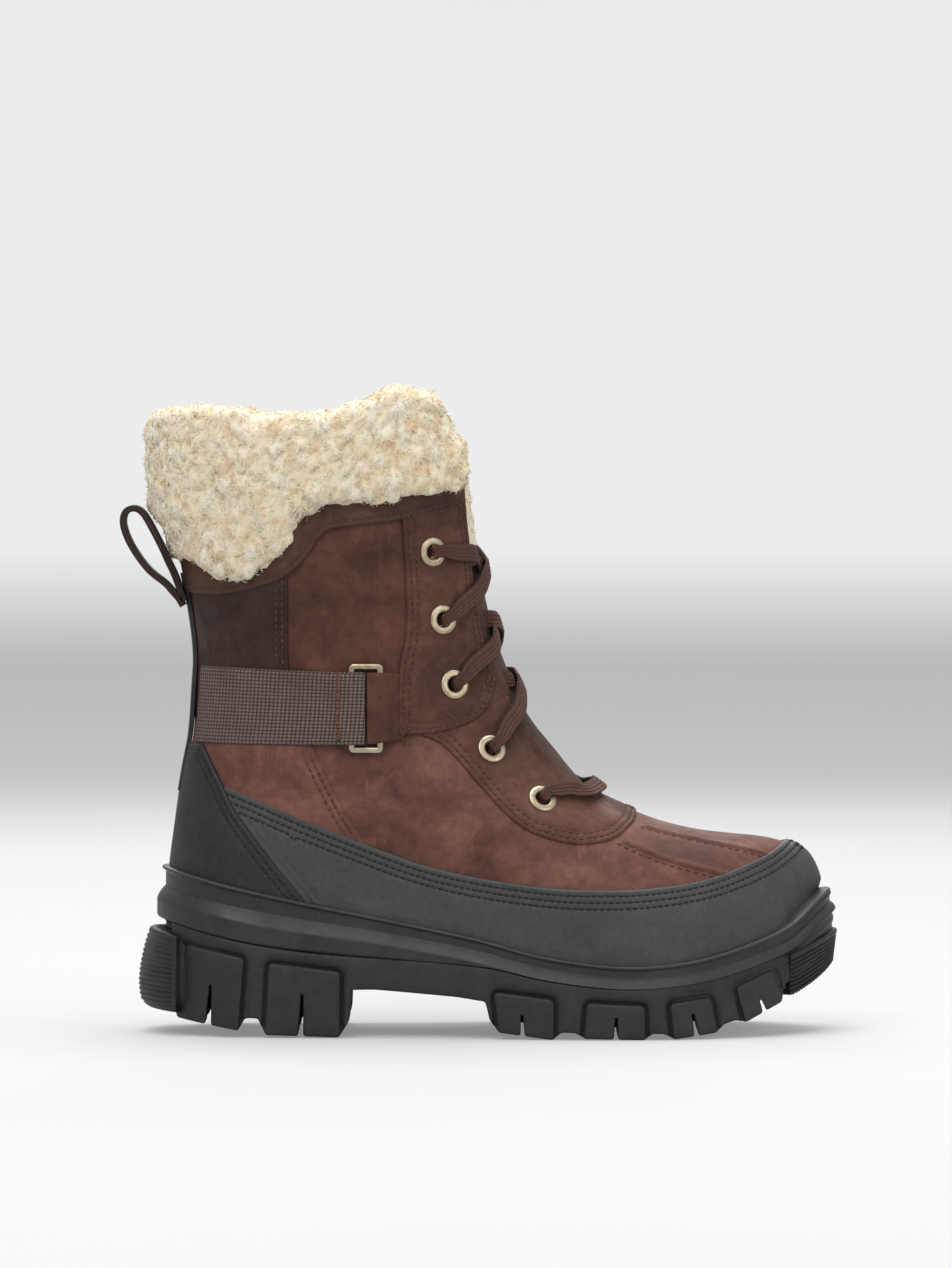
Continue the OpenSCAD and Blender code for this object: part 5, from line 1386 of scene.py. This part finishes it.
def build_tread():
    outline = wall_outline()
    outline = np.vstack([round_corners(outline[:-90], 1.0), outline[-90:]])
    shapes = [round_corners(face + [[face[-1][0] + 0.4, face[-1][1] - 8], [face[0][0], face[0][1] - 8]], 1.8)
              for face, _ in LUGS]
    for side in BOTH:
        co, tris, edge_d, loops = relief(outline, shapes, 2.4)
        x, z = co[:, 0], co[:, 1]
        t = np.clip(edge_d / 1.1, 0, 1)
        out = WALL + curve(x, SOLE_PROUD) - 1.1 * (1 - np.sqrt(np.maximum(0, 1 - (1 - t) ** 2)))
        for loop in loops:
            d = segment_distance(co, loop, np.roll(loop, -1, axis=0))
            inside = inside_polygon(co, loop)
            proud = 0.55 * np.sqrt(np.maximum(0, 1 - (1 - np.clip(d / 1.0, 0, 1)) ** 2))
            groove = smooth(d / 0.6) * (1 - smooth((d - 1.3) / 1.0))
            out += np.where(inside, proud, -2.5 * groove)
        toe_end = rounding((TOE_X + WALL - x) / (TOE_ROUND + WALL))
        w = (foot_half(x, side) + out) * toe_end * rounding((x - HEEL_X + 7.7) / 47.7)
        outer = np.column_stack([x, centre_y(x) + side * w, z])
        inner = np.column_stack([x, centre_y(x) + side * np.minimum(w - 3, 15 + 0 * w), z])
        m = len(co)
        faces, rim = [], {}
        for a, b, c in tris.tolist():
            faces.append([a, b, c])
            faces.append([m + c, m + b, m + a])
            for e in ((a, b), (b, c), (c, a)):
                if e[::-1] in rim:
                    del rim[e[::-1]]
                else:
                    rim[e] = True
        faces += [[b, a, m + a, m + b] for a, b in rim]
        obj = new_object("tread_" + SIDE_NAME[side], np.vstack([outer, inner]), faces, M["lug"], "boot")
        fix_normals(obj)


def build_bumper(name, tip, top, low, out, corner, x_side, ribs, frame_w, teeth=0.0, n=97, cols=121):
    """A ribbed pad round the heel or the toe. tip(z) is its furthest x, and top(x) and low(x) bound it.
    out is how far its sides stand beyond the upper, and frame_w is the width of its smooth frame above,
    beside and below."""
    sign = 1 if x_side > 0 else -1
    above, beside, below = frame_w
    end = float(tip(30.0))
    verts = []
    for i in range(n):
        k = i / (n - 1)
        for j in range(cols):
            t = -1 + 2 * j / (cols - 1)
            side = -1 if t < 0 else 1
            share = abs(t) ** 1.6
            x_guess = end + (x_side - end) * share
            bottom = float(low(x_guess)) + teeth * (abs((t * 22) % 1 - 0.5) * 2 - 0.5)
            height = float(top(x_guess)) - bottom
            z = bottom + height * (1 - k)
            e = float(tip(z))
            edge_d = min(k * height, (1 - k) * height, abs(x_guess - x_side) * 1.6)
            if k * height < above or (1 - k) * height < below or abs(x_guess - x_side) < beside:
                bump = 0.95
            else:
                rib = math.pi * ribs * (k * height - above) / (height - above - below)
                bump = 0.1 + 0.8 * abs(math.cos(rib)) ** 0.8
            bump *= math.sqrt(max(0.0, 1 - (1 - min(edge_d / 0.8, 1)) ** 2))
            e += sign * (bump - 0.6)
            x = e + (x_side - e) * share
            w = float(foot_half(np.array(x), side)) + out + bump
            w *= float(rounding(np.array(abs(e - x) / (corner + out))))
            verts.append([x, float(centre_y(x)) + side * w, z])
    count = len(verts)
    faces = grid_faces(n, cols)
    inner = np.array(verts) * [1, 0.86, 1]
    inner[:, 0] -= sign * 5
    inner_faces = [[count + i for i in f[::-1]] for f in faces]
    border = list(range(cols)) + [i * cols + cols - 1 for i in range(1, n)]
    border += [(n - 1) * cols + j for j in range(cols - 2, -1, -1)] + [i * cols for i in range(n - 2, 0, -1)]
    skirt = [[a, b, count + b, count + a] for a, b in zip(border, border[1:] + border[:1])]
    obj = new_object(name, np.vstack([verts, inner]), faces + inner_faces + skirt, M["bumper"], "boot")
    fix_normals(obj)


M["lug"] = rubber("lug_rubber", (0.016, 0.016, 0.017), (0.032, 0.032, 0.033), rough=(0.5, 0.68),
                  grain_scale=1300, grain=0.5)
M["bumper"] = rubber("bumper_rubber", (0.0072, 0.0072, 0.008), (0.016, 0.016, 0.0168), rough=(0.4, 0.55),
                     grain_scale=1500, grain=0.3)
build_sole()
build_tread()
build_bumper("heel_bumper",
             lambda z: curve(z, [[8.5, -43], [10.5, -46], [13, -48.8], [18, -49.9], [25, -49.8], [33, -48.4],
                                 [40, -46.5], [44, -44.8]]),
             lambda x: curve(x, [[-48, 43.6], [-40, 42.4], [-33, 40.6]]),
             lambda x: curve(x, [[-48, 10], [-40, 9.6], [-33, 9.4]]),
             8.0, 40, -33.4, 15, (1.7, 1.7, 1.7))
build_bumper("toe_bumper",
             lambda z: curve(z, [[17, 236.6], [24, 237.6], [31.7, 238.6], [40, 239.6], [46.6, 239.8],
                                 [52, 239]]),
             lambda x: 33.3 + (x - 219.4) * 0.47,
             lambda x: curve(x, [[219, 16.6], [222, 17.2], [226.5, 19.4], [231.4, 22.3], [235.5, 25.6],
                                 [239.6, 30], [241, 31.5]]),
             6.6, TOE_ROUND, 219.2, 8, (2.0, 0.0, 0.9), teeth=0.7, cols=241)

# ---------- tongue (the lining and footbed are made with the shearling) ---


def fan_band(a0, a1, depth0, depth1, n=40):
    a = np.linspace(a0, a1, n)
    lo = np.column_stack(cartesian(a, front_r(a) + depth0))
    hi = np.column_stack(cartesian(a, front_r(a) + depth1))
    return np.vstack([lo, hi[::-1]])


panel("tongue", two(fan_band(199, 236, -3, 19)), -1.0, M["tongue"], ["tongue"], body="tongue_body", thick=1.2,
      puff=0.5, grooves=(3.0,))


# ---------- shearling ----------


CUFF_TOP_LIFT = [[-50, -5.6], [-38, -6], [-20, -3.8], [5, -3.6], [20, -3], [30, -4], [42, -3], [48, 0],
                 [56, 4], [66, 2.4], [72, 0], [84, -6], [96, -9]]


def padded_copy(node, voxel, pressure, cap):
    """The CAD solid of a pad as a soft body: remeshed, inflated by cloth simulation and capped. In mm."""
    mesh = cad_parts[node].data.copy()
    obj = bpy.data.objects.new("pad_" + node, mesh)
    bpy.context.collection.objects.link(obj)
    bpy.context.view_layer.objects.active = obj
    remesh = obj.modifiers.new("remesh", "REMESH")
    remesh.mode, remesh.voxel_size = "VOXEL", voxel
    deps = bpy.context.evaluated_depsgraph_get()
    mesh = bpy.data.meshes.new_from_object(obj.evaluated_get(deps))
    obj.modifiers.clear()
    obj.data = mesh
    rest = np.array([v.co for v in mesh.vertices])
    cloth = obj.modifiers.new("cloth", "CLOTH")
    cloth.settings.use_pressure = True
    cloth.settings.uniform_pressure_force = pressure
    cloth.settings.effector_weights.gravity = 0
    scene = bpy.context.scene
    cloth.point_cache.frame_start, cloth.point_cache.frame_end = 1, 20
    for f in range(1, 21):
        scene.frame_set(f)
    deps = bpy.context.evaluated_depsgraph_get()
    puffed = obj.evaluated_get(deps).to_mesh()
    moved = np.array([v.co for v in puffed.vertices])
    obj.evaluated_get(deps).to_mesh_clear()
    obj.modifiers.clear()
    scene.frame_set(1)
    step = moved - rest
    length = np.linalg.norm(step, axis=1, keepdims=True)
    moved = rest + step * np.minimum(1, cap / np.maximum(length, 1e-9))
    mesh.vertices.foreach_set("co", moved.ravel())
    subdivide = obj.modifiers.new("subdivide", "SUBSURF")
    subdivide.levels = subdivide.render_levels = 1
    smoother = obj.modifiers.new("smooth", "SMOOTH")
    smoother.factor, smoother.iterations = 0.5, 4
    deps = bpy.context.evaluated_depsgraph_get()
    final = bpy.data.meshes.new_from_object(obj.evaluated_get(deps))
    bpy.data.objects.remove(obj)
    final.calc_loop_triangles()
    V = np.array([v.co for v in final.vertices]) / MM
    N = np.array([v.normal for v in final.vertices])
    T = np.array([t.vertices for t in final.loop_triangles])
    return V, N, T


def clumps(P, size, seed):
    """0 to 1: round clumps of about the given size, with dark gaps between them."""
    rng = np.random.default_rng(seed)
    lo, hi = P.min(0) - size, P.max(0) + size
    n = int(np.prod((hi - lo) / size) * 1.6)
    tree = KDTree(n)
    C = rng.uniform(lo, hi, (n, 3))
    for i, c in enumerate(C):
        tree.insert(c, i)
    tree.balance()
    out, which = np.zeros(len(P)), np.zeros(len(P), int)
    for i, p in enumerate(P):
        two_near = tree.find_n(p, 2)
        gap_share = (two_near[1][2] - two_near[0][2]) / size
        out[i] = min(1.0, gap_share * 1.6)
        which[i] = two_near[0][1]
    return np.sqrt(out), which, C


FIBRES_EACH = 20000


def shearling(name, V, N, T, body, nodes, count, length=3.9, clump=8.5, lift=2.6, seed=5, keep=None,
              flop=0.8):
    """The fleece over a padded body: a lumpy skin, and many short curled fibres that lean with their
    clump."""
    rng = np.random.default_rng(seed)
    size, which, C = clumps(V, clump, seed)
    small, _, _ = clumps(V, clump * 0.45, seed + 1)
    H = lift * size + 0.9 * small - 0.8
    skin_v = V + N * H[:, None]
    obj = new_object(name, skin_v, T, M["wool"], body, nodes)
    set_tip(obj, np.clip(0.15 + 0.55 * size + 0.3 * small, 0, 1))
    A, B, D = skin_v[T[:, 0]], skin_v[T[:, 1]], skin_v[T[:, 2]]
    area = np.linalg.norm(np.cross(B - A, D - A), axis=1) / 2
    if keep is not None:
        area = area * keep((A + B + D) / 3, N[T[:, 0]])
    pick = rng.choice(len(T), size=count, p=area / area.sum())
    r1, r2 = rng.uniform(size=(2, count))
    r1 = np.sqrt(r1)
    w0, w1, w2 = (1 - r1)[:, None], (r1 * (1 - r2))[:, None], (r1 * r2)[:, None]
    root = A[pick] * w0 + B[pick] * w1 + D[pick] * w2
    normal = N[T[pick, 0]] * w0 + N[T[pick, 1]] * w1 + N[T[pick, 2]] * w2
    normal /= np.linalg.norm(normal, axis=1, keepdims=True)
    away = root - C[which[T[pick, 0]]]
    away -= (away * normal).sum(1, keepdims=True) * normal
    away /= np.maximum(np.linalg.norm(away, axis=1, keepdims=True), 1e-6)
    lean = away * rng.uniform(0.1, 1.0, (count, 1)) + rng.normal(0, 0.6, (count, 3)) + [0, 0, -flop * 0.3]
    direction = 0.75 * normal + lean * flop
    direction /= np.linalg.norm(direction, axis=1, keepdims=True)
    side = np.cross(direction, normal + rng.normal(0, 0.25, (count, 3)))
    side /= np.linalg.norm(side, axis=1, keepdims=True)
    bend = np.cross(side, direction)
    L = length * rng.uniform(0.55, 1.15, (count, 1)) * (0.55 + 0.45 * size[T[pick, 0]][:, None])
    steps, curl = 4, -rng.uniform(1.2, 2.6, (count, 1))
    widths = [0.26, 0.28, 0.26, 0.20, 0.08]
    rows = []
    P, ang = root - normal * 0.5, np.zeros((count, 1))
    for k in range(steps + 1):
        rows.append(P - side * widths[k] / 1.2)
        rows.append(P + side * widths[k] / 1.2)
        ang = ang + curl / steps
        P = P + (direction * np.cos(ang) + bend * np.sin(ang)) * (L / steps)
    m = 2 * (steps + 1)
    stacked, shade = np.stack(rows, 1), 0.45 + 0.55 * size[T[pick, 0]]
    for number, chunk in enumerate(np.array_split(np.arange(count), -(-count // FIBRES_EACH))):
        base = (np.arange(len(chunk)) * m)[:, None]
        quads = np.concatenate([base + [2 * k, 2 * k + 1, 2 * k + 3, 2 * k + 2] for k in range(steps)], 0)
        points = stacked[chunk].reshape(-1, 3)
        fibres = new_object(f"{name}_fibres_{number + 1}", points, quads, M["wool"], body)
        ramp_up = np.tile(np.repeat(np.linspace(0.25, 1.0, steps + 1), 2), len(chunk))
        set_tip(fibres, ramp_up * np.repeat(shade[chunk], m))




def plush(node, body, voxel, clump, lift, material):
    """A fleece-faced copy of a soft solid that is only seen from above."""
    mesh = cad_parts[node].data.copy()
    obj = bpy.data.objects.new("plush_" + node, mesh)
    bpy.context.collection.objects.link(obj)
    remesh = obj.modifiers.new("remesh", "REMESH")
    remesh.mode, remesh.voxel_size = "VOXEL", voxel
    smoother = obj.modifiers.new("smooth", "SMOOTH")
    smoother.factor, smoother.iterations = 0.5, 3
    final = bpy.data.meshes.new_from_object(obj.evaluated_get(bpy.context.evaluated_depsgraph_get()))
    bpy.data.objects.remove(obj)
    V = np.array([v.co for v in final.vertices]) / MM
    N = np.array([v.normal for v in final.vertices])
    size, _, _ = clumps(V, clump, 21)
    faces = [list(f.vertices) for f in final.polygons]
    out = new_object(node, V + N * (lift * (size - 0.6))[:, None], faces, material, body, [node])
    set_tip(out, np.clip(0.2 + 0.7 * size, 0, 1))


M["felt"] = wool("footbed_felt", (0.16, 0.15, 0.135), (0.30, 0.28, 0.25), (0.42, 0.40, 0.36))
plush("fleece_lining", "boot", 0.0022, 5.5, 0.9, M["wool"])
plush("footbed_cover", "footbed_body", 0.0016, 3.0, 0.35, M["felt"])
V, N, T = padded_copy("shearling_cuff", 0.0045, 4.0, 0.004)
V[:, 2] += curve(V[:, 0], CUFF_TOP_LIFT) * smooth((V[:, 2] - 225) / 35)
V[:, 0] -= 5.4 * smooth((-16 - V[:, 0]) / 16) * smooth((V[:, 2] - 204) / 14)
V[:, 0] += 3.2 * smooth((V[:, 0] - 74) / 10) * smooth((V[:, 2] - 221) / 8) * smooth((252 - V[:, 2]) / 9)
fluff = 1.0
shearling("shearling_cuff", V, N, T, "boot", ["shearling_cuff"], int(75000 * fluff),
          keep=lambda P, n: 1.0 - 0.75 * ((n[:, 1] * P[:, 1] < 0) & (P[:, 2] < 225)))
V, N, T = padded_copy("tongue_shearling", 0.0035, 2.0, 0.002)
top_part = smooth((V[:, 2] - 186) / 12)
V = V + N * (1.2 * top_part)[:, None] + np.column_stack([3.4 * top_part, 0 * top_part, 0 * top_part])
shearling("tongue_shearling", V, N, T, "tongue_body", ["tongue_shearling"], int(14000 * fluff), length=3.6,
          clump=6, lift=1.4, seed=8, keep=lambda P, n: 0.25 + 1.0 * (P[:, 2] > 184))

for colour, (verts, faces) in STITCHES.items():
    if verts:
        new_object("stitching_" + colour, verts, faces, M["thread_" + colour])


# ---------- stage, light and camera ----------

GLOW_LOW, GLOW_HIGH = 0.24, 0.60
R_FLOOR = 4.6


def build_stage():
    m = Nodes("studio_floor", 0.9)
    colour = m.ramp(m.noise(3, 2), [(0.3, (0.49, 0.49, 0.49)), (0.7, (0.5, 0.5, 0.5))])
    height = m.add("ShaderNodeSeparateXYZ", i0=m.coords).outputs[2]
    seen = m.tree.nodes.new("ShaderNodeLightPath").outputs["Is Camera Ray"]
    glow = m.maths("MULTIPLY", seen, m.remap(height, 0.0, 0.10, GLOW_LOW, GLOW_HIGH))
    m.tree.links.new(glow, m.shader.inputs["Emission Strength"])
    floor_material = m.finish(colour, Emission_Color=(1, 1, 1, 1))
    n, around = 16, 96
    bend = [(R_FLOOR + 1.2 * math.sin(t * math.pi / 2 / n), 1.2 - 1.2 * math.cos(t * math.pi / 2 / n))
            for t in range(n + 1)]
    turns = [2 * math.pi * k / around for k in range(around)]

    def turned(name, profile):
        verts = [(r * math.cos(a), r * math.sin(a), z) for r, z in profile for a in turns]
        mesh = bpy.data.meshes.new(name)
        mesh.from_pydata(verts, [], grid_faces(len(profile), around, True))
        mesh.shade_smooth()
        mesh.materials.append(floor_material)
        obj = bpy.data.objects.new(name, mesh)
        bpy.context.collection.objects.link(obj)
        return obj

    turned("studio_floor", [(0.001, 0.0), (1.0, 0.0), (R_FLOOR, 0.0)])
    wall = turned("studio_wall", bend + [(R_FLOOR + 1.2, 4.5)])
    wall.visible_diffuse = wall.visible_glossy = wall.visible_transmission = wall.visible_shadow = False


def area_light(name, at, target, size, power, colour=(1, 1, 1)):
    light = bpy.data.lights.new(name, "AREA")
    light.shape = "RECTANGLE"
    light.size, light.size_y = size
    light.energy = power
    light.color = colour
    obj = bpy.data.objects.new(name, light)
    obj.location = at
    obj.rotation_euler = (Vector(target) - Vector(at)).to_track_quat("-Z", "Y").to_euler()
    bpy.context.collection.objects.link(obj)


def build_camera():
    data = bpy.data.cameras.new("camera")
    data.sensor_width = 36
    data.lens = 239.5
    camera = bpy.data.objects.new("camera", data)
    camera.location = (0.0898, -3.5, 0.2687)
    ahead = Vector((0.0898, 0, 0.1647)) - camera.location
    camera.rotation_euler = ahead.to_track_quat("-Z", "Y").to_euler()
    bpy.context.collection.objects.link(camera)
    bpy.context.scene.camera = camera


build_stage()
build_camera()
area_light("key", (-0.5, -1.5, 1.7), (0.1, 0, 0.12), (1.4, 1.0), 19.5)
area_light("fill", (1.6, -1.3, 0.9), (0.1, 0, 0.1), (1.2, 1.2), 7.5)
area_light("top", (0.1, 0.2, 1.9), (0.1, 0, 0), (1.6, 1.2), 25)
area_light("back", (0.0, 1.6, 1.1), (0.1, 0, 0.15), (1.6, 0.8), 10)
world = bpy.data.worlds.new("studio")
world.use_nodes = True
world.node_tree.nodes["Background"].inputs[0].default_value = (1, 1, 1, 1)
world.node_tree.nodes["Background"].inputs[1].default_value = 0.44
bpy.context.scene.world = world
bpy.context.scene.view_settings.view_transform = "Standard"

M["foam"] = rubber("midsole_foam", (0.050, 0.050, 0.052), (0.090, 0.090, 0.092), rough=(0.7, 0.85),
                   grain_scale=500)
M["board"] = rubber("fibre_board", (0.22, 0.15, 0.09), (0.34, 0.25, 0.16), rough=(0.75, 0.9), grain_scale=400)
M["steel"] = metal("spring_steel", (0.30, 0.30, 0.31), (0.52, 0.52, 0.54))
M["stiffener"] = rubber("stiffener", (0.30, 0.28, 0.24), (0.44, 0.42, 0.37), rough=(0.6, 0.8),
                        grain_scale=500)
M["batting"] = wool("insulation", (0.30, 0.31, 0.33), (0.46, 0.47, 0.50), (0.60, 0.61, 0.64))
M["tip_sleeve"] = rubber("lace_tip", (0.030, 0.014, 0.010), (0.055, 0.026, 0.018), rough=(0.25, 0.4))
INNER = {"midsole": "foam", "footbed_foam": "foam", "insole_board": "board", "shank": "steel",
         "heel_counter": "stiffener", "toe_puff": "stiffener", "insulated_bootie": "batting",
         "eyelet_washers": "brass", "lace_aglets": "tip_sleeve"}

finish_pieces()
hidden = {n for _, _, nodes in PIECES.values() for n in nodes}
for node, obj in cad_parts.items():
    if node not in hidden:
        obj.data.materials.clear()
        obj.data.materials.append(M[INNER.get(node, "foam")])
